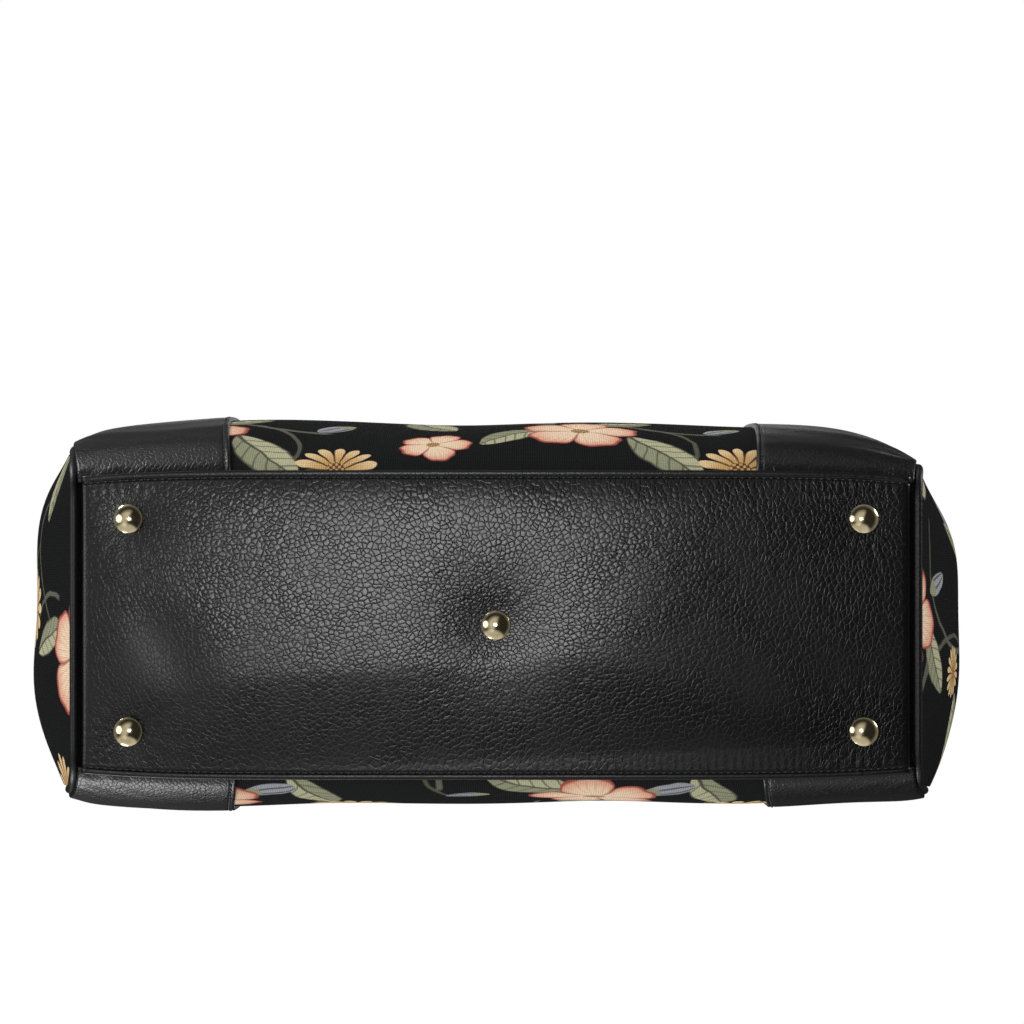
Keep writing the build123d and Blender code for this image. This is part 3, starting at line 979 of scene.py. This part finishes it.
def base_panel():
    """The base leather: its underside as a fine grid, a rim and a flat back. The grain's map is drawn
    together towards the edges, so that the pebbles lengthen there, and round each foot, where they point at
    it."""
    x = lines(2 * BASE_END, 0.0009, 0.0024) - BASE_END
    half = lines(2.0, 0.0170, 0.022) - 1.0
    hem = np.concatenate([np.linspace(0.0, 0.0048, 18), [0.0054]]) / 0.0635
    half = np.unique(np.concatenate([half[np.abs(half) < 0.915], hem - 1, 1 - hem]))
    gx = x[:, None] + 0 * half
    gy = half * base_edge(x)[:, None]
    under = base_surface(gx, gy)
    rows, columns = gx.shape
    index = np.arange(rows * columns).reshape(rows, columns)
    rim = np.concatenate([index[:-1, 0], index[-1, :-1], index[:0:-1, -1], index[0, :0:-1]])
    back = under.reshape(-1, 3)[rim].copy()
    back[:, 2] = BASE_TOP
    count = rows * columns
    top = count + np.arange(len(rim))
    walls = np.stack([rim, np.roll(rim, -1), np.roll(top, -1), top], -1)
    faces = grid_faces(rows, columns).tolist() + walls.tolist() + [top.tolist()]
    pull_x = 1 - 0.50 * np.exp(-(BASE_END - np.abs(x)) / 0.011)
    pull_y = 1 - 0.58 * np.exp(-(base_edge(0) * (1 - np.abs(half))) / 0.010)
    u, v = (
        np.concatenate([[0], np.cumsum((pull[1:] + pull[:-1]) / 2 * np.diff(places))])
        for pull, places in ((pull_x, x), (pull_y, half))
    )
    v = v * base_edge(0)
    stretch = 1 - 0.35 * ramp(x, 0.05, 0.15)
    uv = np.stack([u[:, None] + 0 * gx, (v - v.mean()) * stretch[:, None]], -1)
    for fx, fy in FEET.values():
        from_foot = np.stack([gx - fx, gy - fy], -1)
        r = np.linalg.norm(from_foot, axis=-1, keepdims=True)
        uv = uv + GATHER * from_foot * r / (r**2 + GATHER**2)
    uv = uv.reshape(-1, 2)
    points = np.concatenate([under.reshape(-1, 3), back])
    piece = make_object("base_leather", points, faces, np.concatenate([uv, uv[rim]]), BASE_SHARP)
    slack = base_slack(gx, gy).ravel()
    paint(piece, "slack", np.concatenate([slack, slack[rim]]))
    return finish_piece(piece, BASE_GRAIN, "bag", "base_leather", "base_panel")


def hem_line(side):
    """The stitch line in a hem's groove, for sewn()."""

    def line(t):
        x = (2 * t - 1) * (BASE_END - 0.003)
        y = -side * (base_edge(x) - HEM_GROOVE)
        down = np.zeros((len(t), 3))
        down[:, 2] = -1
        return base_surface(x, y) + STITCH_LIFT * down, down

    return line


def dome_foot(name, place):
    """A stud foot: a round cap with a sharp rim that the leather meets, a neck up to its seat, a shank."""
    tilt = np.linspace(radians(CAP_TILT), radians(3), 22)
    cap = np.stack([CAP_RADIUS * np.sin(tilt), FOOT_SEAT - CAP_RADIUS * (1 - np.cos(tilt))], -1)
    rim = cap[0] + np.array([[-0.0004, -0.0007], [-0.00005, -0.0004], [0.0, -0.0001]])
    neck = [(0.0015, -0.0049), (0.0015, 0.0), (0.0045, 0.0)]
    points, faces = turned(neck + rim.tolist() + cap.tolist(), (*place, FOOT_SEAT), (0, 0, -1))
    piece = make_object(name + "_dome", points, faces, sharp=DOME_SHARP)
    return finish_piece(piece, GOLD, "bag", "pale_gold", name)


# Walls


def leather_piece(name, points, faces, uv, body="bag"):
    """A piece of trim leather that stands for the solid of its name."""
    piece = make_object(name + "_leather", points, faces, uv, TRIM_SHARP)
    return finish_piece(piece, TRIM_GRAIN, body, "trim_leather", name)


def canvas_panel(name, surface, outward, reach, low):
    """One canvas wall from its foot to the mouth. The print is hidden beside a wall's seams and under a
    gusset's binding."""
    ends = (lambda h: -reach(h), reach)
    heights = (low, BODY_HEIGHT)
    points, faces, uv = patch(surface, outward, ends, heights, (-CANVAS, 0.0), CANVAS_GRID, CANVAS / 3)
    piece = make_object(name + "_canvas", points, faces, uv)
    if reach is wall_reach:
        hidden = 1 - ramp(wall_reach(uv[:, 1]) - np.abs(uv[:, 0]), 0.0030, 0.0050)
    else:
        hidden = ramp(uv[:, 1] - BODY_HEIGHT + BINDING_HEIGHT, 0.0, 0.002)
    paint(piece, "seam", hidden)
    finish_piece(piece, CANVASES[name.split("_")[0]], "bag", "printed_canvas", name)
    area = 2 * reach(np.linspace(low, BODY_HEIGHT, 60)).mean() * (BODY_HEIGHT - low) * 1.03
    return piece


def band_relief(a, h, corner):
    """Relief of a band: full just above the base and drawn in at its seam, with creases towards the corner,
    a few long folds higher up and a groove for the stitches."""
    inward = np.abs(a) - band_start(h, corner)
    crease = np.sin((h * 0.8 + inward * 0.55) / 0.0011 + 1.7 * np.sin(inward / 0.013))
    near = bump(h - 0.009, 0.009) * ramp(inward, 0.018, 0.06)
    fullness = 0.0012 - 0.0004 * ramp(a, -0.12, 0.12)
    full = fullness * bump(h - 0.016, 0.013) - 0.0009 * bump(h, 0.0026)
    folds = np.sin(h / 0.0042 + 2.2 * np.sin(inward / 0.019) + a / 0.03) * bump(h - 0.055, 0.028)
    groove = bump(inward - STITCH_INSET, 0.0007)
    return 0.00020 * crease * near + full + 0.00016 * folds - 0.00040 * groove


def leather_band(side_name, end_name):
    """The leather band at one end of a wall. Returns the stitch run along its inner edge."""
    side, end = SIDES[side_name], ENDS[end_name]
    surface, outward = wall(side), (0, -side, 0)
    corner = f"{side_name}_{end_name}"
    top = BODY_HEIGHT - BINDING_HEIGHT + 0.004
    high = BAND_GAP + LEATHER

    def inner(h):
        return end * band_start(h, corner)

    def outer(h):
        return end * (corner_x(h) - BAND_MARGIN)

    def full(a, h):
        return band_relief(a, h, corner)

    ends = (inner, outer)[::end]
    offsets = (BAND_GAP - LAYER_GAP, high)
    shape = patch(surface, outward, ends, (0.0, top), offsets, BAND_GRID, relief=full, margin=BAND_FINE)
    piece = leather_piece(corner + "_band", *shape)
    paint(piece, "slack", 0.30 * ramp(shape[2][:, 1], 0.010, 0.032))

    def line(t):
        h = 0.003 + t * (top - 0.008)
        a = inner(h) + end * STITCH_INSET
        return lift(surface, outward, a, h, high + full(a, h) + STITCH_LIFT), normals(surface, outward, a, h)

    return line


def both_faces(offset, height, thick):
    """The two faces of a folded strip, as offsets and heights: half a thickness to each side, square to
    it."""
    along = np.stack([np.gradient(offset), np.gradient(height)])
    out_o, out_h = (along / np.hypot(*along))[..., None]
    sides = (thick, -thick)
    return [(offset[:, None] + t * out_h, height[:, None] - t * out_o) for t in sides]


def strip_map(across, offset, height):
    """The map of a folded strip's two faces: places across it and the run along it."""
    run = run_length(np.stack([offset, height], -1))[:, None]
    flat = np.stack([across + 0 * run, run + 0 * across], -1).reshape(-1, 2)
    return np.concatenate([flat, flat])


def folded_binding(name, surface, outward, reach):
    """Leather folded over a wall at the mouth: the outer leaf, a half circle over the edge and the inner
    facing, as one strip of even thickness. Returns the stitch runs near its lower and upper edge."""
    outer = BAND_GAP + LEATHER * 1.6
    inner = -CANVAS - LAYER_GAP - LEATHER / 2
    radius = (outer - inner) / 2
    low = BODY_HEIGHT - BINDING_HEIGHT
    rise = np.append(lines(BINDING_HEIGHT, 0.004)[:-5], BINDING_HEIGHT)
    turn = np.linspace(0, pi, 13)[1:-1]
    offset = np.concatenate([0 * rise + outer, (outer + inner) / 2 + radius * np.cos(turn), 0 * rise + inner])
    height = np.concatenate([low + rise, BODY_HEIGHT + radius * np.sin(turn), (low + rise)[::-1]])
    thick = LEATHER / 2 * rolled(np.concatenate([rise, 0 * turn + 1, rise[::-1]]), EDGE_ROLL)
    share = lines(2.0, 0.022, 0.006) - 1.0
    inset = np.where(offset < 0, FACING_INSET, 0)[:, None]
    grids = []
    for o, h in both_faces(offset, height, thick[:, None]):
        a = share * (reach(np.minimum(h, BODY_HEIGHT)) - inset)
        grids.append(lift(surface, outward, a, h + 0 * a, o + 0 * a))
    points, faces = slab(*grids)
    leather_piece(name, points, faces, strip_map(share * reach(BODY_HEIGHT), offset, height))

    def line_at(level):
        def line(t):
            a, h = (2 * t - 1) * (reach(level + 0 * t) - 0.003), level + 0 * t
            out = np.full_like(t, outer + LEATHER / 2 + 0.0001)
            return lift(surface, outward, a, h, out), normals(surface, outward, a, h)

        return line

    return [line_at(low + STITCH_INSET), line_at(BODY_HEIGHT - 0.003)]


def piping(name, end):
    """Round leather piping with its sewn flange in a gusset's seam: down the front corner, under the end
    and up the back corner. The corners are rounded by averaging along the path."""
    h = np.linspace(BODY_HEIGHT, 0.0, 150)
    sink = PIPING_SINK * ramp(h, 0.004, 0.030) * (1 - ramp(h, 0.070, 0.130))
    front = np.stack([corner_x(h) - sink, sink - corner_y(h), WALL_FOOT + h], -1)
    level = BASE_BOTTOM + PIPING_RADIUS + LAYER_GAP
    foot = np.array([corner_x(0.0), -corner_y(0.0), level])
    under = foot + np.linspace(0, 1, 66)[:, None] * np.array([0, -2 * foot[1], 0])
    route = np.concatenate([front, under[1:-1], front[::-1] * (1, -1, 1)])
    inward = np.concatenate([0 * front + (-1, 1, 0), 0 * under[1:-1] + (-1, 0, 1), 0 * front + (-1, -1, 0)])
    run = run_length(route)
    even = np.linspace(0, run[-1], PIPING_SAMPLES)
    kernel = np.exp(-(np.linspace(-2, 2, 17) ** 2))
    kernel /= kernel.sum()

    def smooth(values):
        evened = sampled(even, run, values)
        before = 2 * evened[:1] - evened[8:0:-1]
        padded = np.concatenate([before, evened, 2 * evened[-1:] - evened[-2:-10:-1]])
        return np.stack([np.convolve(padded[:, k], kernel, "valid") for k in range(3)], -1)

    path = settled((smooth(route) + (PIPING_OUT, 0, 0)) * (end, 1, 1))
    toward = smooth(inward) * (end, 1, 1)
    angle = np.linspace(0.22, 2 * pi - 0.22, 15)
    tube = PIPING_RADIUS * np.stack([np.cos(angle), np.sin(angle)], -1)
    flange = PIPING_FLANGE * np.array([[1, -1], [1, 1]])
    points, faces, uv = carried(path, toward, np.concatenate([tube, flange]))
    piece = leather_piece(name, points, faces, uv)
    paint(piece, "slack", np.full(len(points), 0.6))
    return piece


# Lining


def lining():
    """The cotton pouch: rings round the inside of the walls from the facing down to the floor, then rings
    that close the floor, with slack folds."""
    top = BODY_HEIGHT - BINDING_HEIGHT + 0.006
    floor = LINING_FLOOR - WALL_FOOT
    down_rows, floor_rows = LINING_ROWS
    h = np.concatenate([np.linspace(top, floor, down_rows), np.full(floor_rows, floor)])
    shrink = np.concatenate([np.ones(down_rows), np.linspace(0.96, 0.05, floor_rows)])
    t = np.linspace(-1, 1, 41)[:-1]
    s = np.linspace(-1, 1, 25)[:-1]
    rings = []
    for inset in (LINING_INSET, LINING_INSET + LINING_THICK):
        x = (corner_x(h) - inset)[:, None]
        y = (corner_y(h) - inset)[:, None]
        bow = at(h, BOWS)[:, None]
        end_bow = at(h, END_BOWS)[:, None]
        rows = h[:, None]
        fold = 0.0014 * np.sin(t * 17 + rows / 0.05) * slackness(rows) * (1 - t**6)
        end_fold = 0.0013 * np.sin(s * 11 + rows / 0.04) * slackness(rows) * (1 - s**4)
        front = np.stack([x * t, -y - bow * (1 - np.abs(t) ** BOW_POWER) + 0.0008 + fold], -1)
        right = np.stack([x + end_bow * (1 - np.abs(s) ** END_BOW_POWER) - 0.0008 - end_fold, y * s], -1)
        ring = np.concatenate([front, right, -front, -right], 1)
        z = np.broadcast_to((WALL_FOOT + h)[:, None, None], ring.shape[:2] + (1,)) + (inset - LINING_INSET)
        rings.append(settled(np.concatenate([ring * shrink[:, None, None], z], -1)))
    points, faces = slab(*rings, wrap=True)
    columns = rings[0].shape[1]
    half = len(points) // 2
    floors = [list(range(last - columns, last)) for last in (half, 2 * half)]
    around = run_length(rings[0][0])
    down = run_length(np.stack([h, shrink * WIDTHS[0] / 2], -1))[:, None]
    uv = np.stack([around + 0 * down, down + 0 * around], -1).reshape(-1, 2)
    faces = faces[:-columns] + floors
    piece = make_object("lining_cotton", points, faces, np.concatenate([uv, uv]), TRIM_SHARP)
    finish_piece(piece, LINING, "bag", "lining_cloth", "lining")
    return piece


def snap(name, side, stud):
    """Half of the magnetic snap on the inner facing: a disc with a rounded rim and a groove, and a stud or
    a hollow in the middle."""
    surface, outward = wall(side), (0, -side, 0)
    h = np.array([BODY_HEIGHT - BINDING_HEIGHT / 2])
    x = np.array([0.0])
    back = -CANVAS - LAYER_GAP - LEATHER - 0.0001
    place = lift(surface, outward, x, h, np.array([back]))[0]
    direction = -normals(surface, outward, x, h)[0]
    rim = [(0.0078, 0.0), (0.0080, 0.0004), (0.0080, 0.0014)]
    rim += [(0.0077, 0.0019), (0.0070, 0.0021), (0.0062, 0.0021)]
    groove = [(0.0060, 0.0018), (0.0052, 0.0018), (0.0050, 0.0021)]
    if stud:
        middle = [(0.0037, 0.0022), (0.0035, 0.0026), (0.0034, 0.0033), (0.0029, 0.0036), (0.0004, 0.0036)]
    else:
        middle = [(0.0038, 0.0021), (0.0036, 0.0018), (0.0036, 0.0008), (0.0004, 0.0008)]
    points, faces = turned(rim + groove + middle, place, direction)
    piece = make_object(name + "_plate", points, faces, sharp=SNAP_SHARP)
    return finish_piece(piece, GOLD, "bag", "pale_gold", name)


# Tabs, rings and handles


def fold_profile(leaf, apart):
    """A strip folded round a bar, as offsets and heights from the bar: one leaf up from its end, a half
    circle over the bar and the other leaf back down. apart is the leaves' spacing below the bar."""
    rise = np.concatenate([lines(leaf - 0.006, 0.003)[:-5], np.linspace(leaf - 0.006, leaf, 9)])
    neck = ramp(rise, leaf - 0.007, leaf - 0.0008)
    half = apart / 2 + (LOOP_RADIUS - apart / 2) * neck
    turn = np.linspace(0, pi, 15)[1:-1]
    offset = np.concatenate([half, LOOP_RADIUS * np.cos(turn), -half[::-1]])
    height = np.concatenate([rise - leaf, LOOP_RADIUS * np.sin(turn), (rise - leaf)[::-1]])
    return offset, height


def folded_strip(offset, height, corner, to_space):
    """A folded strip of even thickness and rounded end corners; to_space takes width, offset and height."""
    from_end = height - height.min()
    cut = corner - np.sqrt(np.maximum(corner**2 - np.maximum(corner - from_end, 0) ** 2, 0))
    share = lines(2.0, 0.16, 0.12) - 1.0
    edge = rolled((1 - np.abs(share)) * TAB_WIDTH / 2, EDGE_ROLL * 0.7)
    half = (TAB_WIDTH / 2 - cut)[:, None]
    sides = both_faces(offset, height, STRAP / 2 * edge)
    points, faces = slab(*[to_space(half * share, o, h) for o, h in sides])
    return points, faces, strip_map(TAB_WIDTH / 2 * share, offset, height)


def ring_tab(side_name, end_name):
    """A leather tab on the binding, folded round the ring's lower bar. Returns its stitch runs."""
    side, end = SIDES[side_name], ENDS[end_name]
    surface = wall(side)
    leaf = AXIS_Z - WALL_TOP - LEATHER + TAB_HEIGHT
    axis_h = AXIS_Z - WALL_FOOT
    offset, height = fold_profile(leaf, STRAP)

    def to_space(w, o, h):
        x = np.array([end * TAB_X])
        base = surface(x, np.array([axis_h]))[0]
        slope = unit(base - surface(x, np.array([axis_h - leaf]))[0])
        out = np.array([0, -side * slope[2], -side * slope[1]])
        axis = np.array([end * TAB_X, -side * AXIS_Y, AXIS_Z])
        return axis + w[..., None] * (1, 0, 0) + o[..., None] * out + h[..., None] * slope

    leather_piece(f"{side_name}_{end_name}_tab", *folded_strip(offset, height, TAB_CORNER, to_space))
    return tab_seam(to_space, leaf, STRAP * 1.05)


def tab_seam(to_space, leaf, out):
    """The stitch run inside a strip's outer leaf: down one side, across its end and up the other."""
    half, top, low, cut = TAB_WIDTH / 2 - 0.0020, -0.0085, 0.0022 - leaf, 0.002
    corner = [[half - cut, low], [half, low + cut], [half, top]]
    knots = np.array([[-w, h] for w, h in corner[::-1]] + corner)
    run = run_length(knots)

    def line(t):
        w = np.interp(t * run[-1], run, knots[:, 0])
        h = np.interp(t * run[-1], run, knots[:, 1])
        points = to_space(w, np.full_like(t, out), h)
        return points, unit(points - to_space(w, np.full_like(t, out - 0.001), h))

    return line


def handle_space(side):
    """Takes width, outward offset and rise above the upper bar to space, in a handle's leaned plane."""
    rise_way = np.array([0, side * sin(LEAN), cos(LEAN)])
    out_way = np.array([0, -side * cos(LEAN), sin(LEAN)])
    pin = np.array([0, -side * PIN_Y, PIN_Z])

    def to_space(w, o, h):
        return pin + w[..., None] * (1, 0, 0) + o[..., None] * out_way + h[..., None] * rise_way

    return to_space, out_way


def rolled_handle(side_name):
    """A rolled leather handle: a round roll along two legs and a half circle, flattened towards its ends,
    where a strip folds round the ring's upper bar and is sewn over the roll."""
    side = SIDES[side_name]
    to_space, out_way = handle_space(side)
    leg = np.linspace(HANDLE_START, HANDLE_LEG, 50)
    arc = np.linspace(0, pi, 90)[1:-1]
    w = np.concatenate([0 * leg + TAB_X, TAB_X * np.cos(arc), 0 * leg - TAB_X])
    h = np.concatenate([leg, HANDLE_LEG + TAB_X * np.sin(arc), leg[::-1]])
    path = to_space(w, 0 * w, h)
    from_end = np.minimum(np.concatenate([leg, 0 * arc + 1, leg[::-1]]), 1)
    round_share = ramp(from_end, 0.016, 0.040)
    thick, broad = (flat + (HANDLE_RADIUS - flat) * round_share for flat in HANDLE_FLAT)
    angle = np.arange(20) * 2 * pi / 20
    dent = 1 - 0.055 * bump(np.angle(np.exp(1j * (angle - pi / 2))), 0.16)
    profile = np.stack([thick[:, None] * np.cos(angle) * dent, broad[:, None] * np.sin(angle) * dent], -1)
    roll = carried(path, np.broadcast_to(out_way, path.shape), profile)
    offset, height = fold_profile(CUFF_LEAF, CUFF_APART)
    cuffs, runs = [], []
    for end in (1, -1):

        def end_space(w, o, h, end=end):
            return to_space(w + end * TAB_X, o, -h)

        cuffs.append(folded_strip(offset, height, CUFF_CORNER, end_space))
        runs.append(tab_seam(end_space, CUFF_LEAF, CUFF_APART / 2 + STRAP / 2 + 0.0001))
    name = side_name + "_handle"
    leather_piece(name, *joined(roll, *cuffs), name)
    centre = to_space(*np.array([[0.0], [0.0], [HANDLE_LEG]]))[0]
    along = np.linspace(0, 1, len(path))

    def seam(t):
        place = sampled(t, along, path)
        on_leg = (place[:, 2:] < centre[2]) * 1.0
        straight = np.sign(centre - place) * (1, 0, 0)
        inward = unit(unit(centre - place) * (1 - on_leg) + straight * on_leg)
        spread = np.interp(t, along, broad)[:, None]
        return place + (spread * HANDLE_SEAM_SHARE) * inward, inward

    stitches(name + "_stitches", [seam, *runs], name)


# Build the pieces

base_panel()
for foot_name, foot_place in FEET.items():
    dome_foot("foot_" + foot_name, foot_place)
for side_name, side in SIDES.items():
    canvas_panel(side_name + "_panel", wall(side), (0, -side, 0), wall_reach, 0.0)
for end_name, end in ENDS.items():
    canvas_panel(end_name + "_gusset", gusset(end), (end, 0, 0), seam_y, 0.001)
sewn_runs = [hem_line(1), hem_line(-1)]
for side_name, side in SIDES.items():
    sewn_runs += folded_binding(side_name + "_top_binding", wall(side), (0, -side, 0), binding_x)
    for end_name in ENDS:
        sewn_runs.append(leather_band(side_name, end_name))
        sewn_runs.append(ring_tab(side_name, end_name))
    rolled_handle(side_name)
for end_name, end in ENDS.items():
    sewn_runs += folded_binding(end_name + "_top_binding", gusset(end), (end, 0, 0), binding_y)
    piping(end_name + "_piping", end)
stitches("bag_stitches", sewn_runs, "bag")
lining()
snap("snap_socket", 1, False)
snap("snap_stud", -1, True)
kept_nodes = {f"{s}_{e}_ring": GOLD for s in SIDES for e in ENDS}
kept_nodes.update(base_board=board_material(), foot_washers=steel_material())
for node_name, node_material in kept_nodes.items():
    frame["nodes"][node_name].data.materials.clear()
    frame["nodes"][node_name].data.materials.append(node_material)


# Stage, light and camera

IMAGE = 1024
BASE_PIXEL = (496, 625)
METRES_PER_PIXEL = 0.000433
CAMERA_DISTANCE = 1.0
SENSOR = 36.0
FLOOR_REACH = 4.0
AMBIENT = 0.78
BODY_MIDDLE = (0.0, 0.0, 0.2)

# Place, target, size in metres and power in watts of each lamp
LAMPS = {
    "base_key": ((-0.086, -0.04, -1.15), (-0.086, -0.04, 0.0), (0.36, 0.24), 2.35),
    "base_side": ((-0.95, -0.05, -0.50), (0.0, 0.0, 0.0), (0.60, 0.60), 2.2),
    "room_key": ((-1.6, -2.0, 0.45), BODY_MIDDLE, (1.2, 1.2), 40.0),
    "room_fill": ((2.0, -0.9, 0.40), BODY_MIDDLE, (1.2, 1.2), 20.0),
    "room_back": ((-0.9, 2.1, 0.45), BODY_MIDDLE, (1.2, 1.2), 28.0),
    "room_top": ((0.0, -0.2, 2.4), BODY_MIDDLE, (1.5, 1.5), 6.0),
}


def pale_floor():
    """A pale floor that shows the bag's shadow from above and is clear from below."""
    mesh = bpy.data.meshes.new("floor")
    square = [(-FLOOR_REACH, -FLOOR_REACH, 0), (FLOOR_REACH, -FLOOR_REACH, 0)]
    square += [(FLOOR_REACH, FLOOR_REACH, 0), (-FLOOR_REACH, FLOOR_REACH, 0)]
    mesh.from_pydata(square, [], [(0, 1, 2, 3)])
    floor = bpy.data.objects.new("floor", mesh)
    bpy.context.scene.collection.objects.link(floor)
    material, tree, shader = new_material("pale_floor", Base_Color=(0.86, 0.86, 0.85, 1.0), Roughness=0.9)
    clear = tree.nodes.new("ShaderNodeBsdfTransparent")
    below = Field(tree, tree.nodes.new("ShaderNodeNewGeometry").outputs["Backfacing"])
    far = coordinates(tree, "object").vector("LENGTH", out=1).step(0.55, 1.5)
    mix = tree.nodes.new("ShaderNodeMixShader")
    feed(mix.inputs[0], far.most(below))
    tree.links.new(shader.outputs[0], mix.inputs[1])
    tree.links.new(clear.outputs[0], mix.inputs[2])
    tree.links.new(mix.outputs[0], tree.nodes["Material Output"].inputs["Surface"])
    mesh.materials.append(material)
    for kind in ("diffuse", "glossy", "transmission", "shadow"):
        setattr(floor, "visible_" + kind, False)


def studio_world():
    """White to the camera and an even light to rough surfaces; to shiny ones, a dim room with a bright band
    at eye level, a window behind, a pale patch below and one ahead."""
    world = bpy.data.worlds.new("studio")
    bpy.context.scene.world = world
    world.use_nodes = True
    tree = world.node_tree
    background = tree.nodes["Background"]
    path = tree.nodes.new("ShaderNodeLightPath")
    direction = tree.nodes.new("ShaderNodeTexCoord")
    x, y, z = Field(tree, direction.outputs["Generated"]).parts()
    level_share = z.abs().flipped().step(0.55, 0.95)
    window = (y * 0.9 - x * 0.2 - z * 0.3).step(0.62, 0.80)
    under = (z * -1.0).step(0.5, 0.9) * (x * -1.0 - y * 0.4).step(-0.13, 0.20)
    ahead = (x * -0.26 - y * 0.91 + z * 0.31).step(0.84, 0.96)
    room = level_share * 0.18 + window * 0.50 + under * 0.55 + ahead * 0.40 + 0.015
    seen = Field(tree, path.outputs["Is Camera Ray"]).most(Field(tree, path.outputs["Is Transmission Ray"]))
    sharp = Field(tree, path.outputs["Is Glossy Ray"])
    ambient = sharp * (room - AMBIENT) + AMBIENT
    dress(background, Strength=seen + seen.flipped() * ambient, Color=(1.0, 1.0, 1.0, 1.0))


def softbox(name, place, target, size, power):
    """A soft lamp of a width and a height that faces a target."""
    light = bpy.data.lights.new(name, "AREA")
    light.shape = "ELLIPSE"
    light.size, light.size_y = size
    light.energy = power
    lamp = bpy.data.objects.new(name, light)
    bpy.context.scene.collection.objects.link(lamp)
    lamp.location = place
    lamp.rotation_euler = (Vector(target) - Vector(place)).to_track_quat("-Z", "Y").to_euler()


def base_camera():
    """Looks straight up at the base with the front wall at the top of the picture. It stands off the base's
    centre by as much as the photograph has that centre off its middle."""
    data = bpy.data.cameras.new("base_camera")
    camera = bpy.data.objects.new("base_camera", data)
    bpy.context.scene.collection.objects.link(camera)
    aside = (IMAGE / 2 - BASE_PIXEL[0]) * METRES_PER_PIXEL
    ahead = (BASE_PIXEL[1] - IMAGE / 2) * METRES_PER_PIXEL
    camera.location = (aside, -ahead, BASE_BOTTOM - CAMERA_DISTANCE)
    camera.rotation_euler = (pi, 0, 0)
    data.sensor_width = SENSOR
    data.lens = SENSOR * CAMERA_DISTANCE / (METRES_PER_PIXEL * IMAGE)
    data.clip_start = 0.01
    bpy.context.scene.camera = camera


pale_floor()
studio_world()
for lamp_name, lamp_values in LAMPS.items():
    softbox(lamp_name, *lamp_values)
base_camera()
bpy.context.scene.view_settings.view_transform = "Standard"
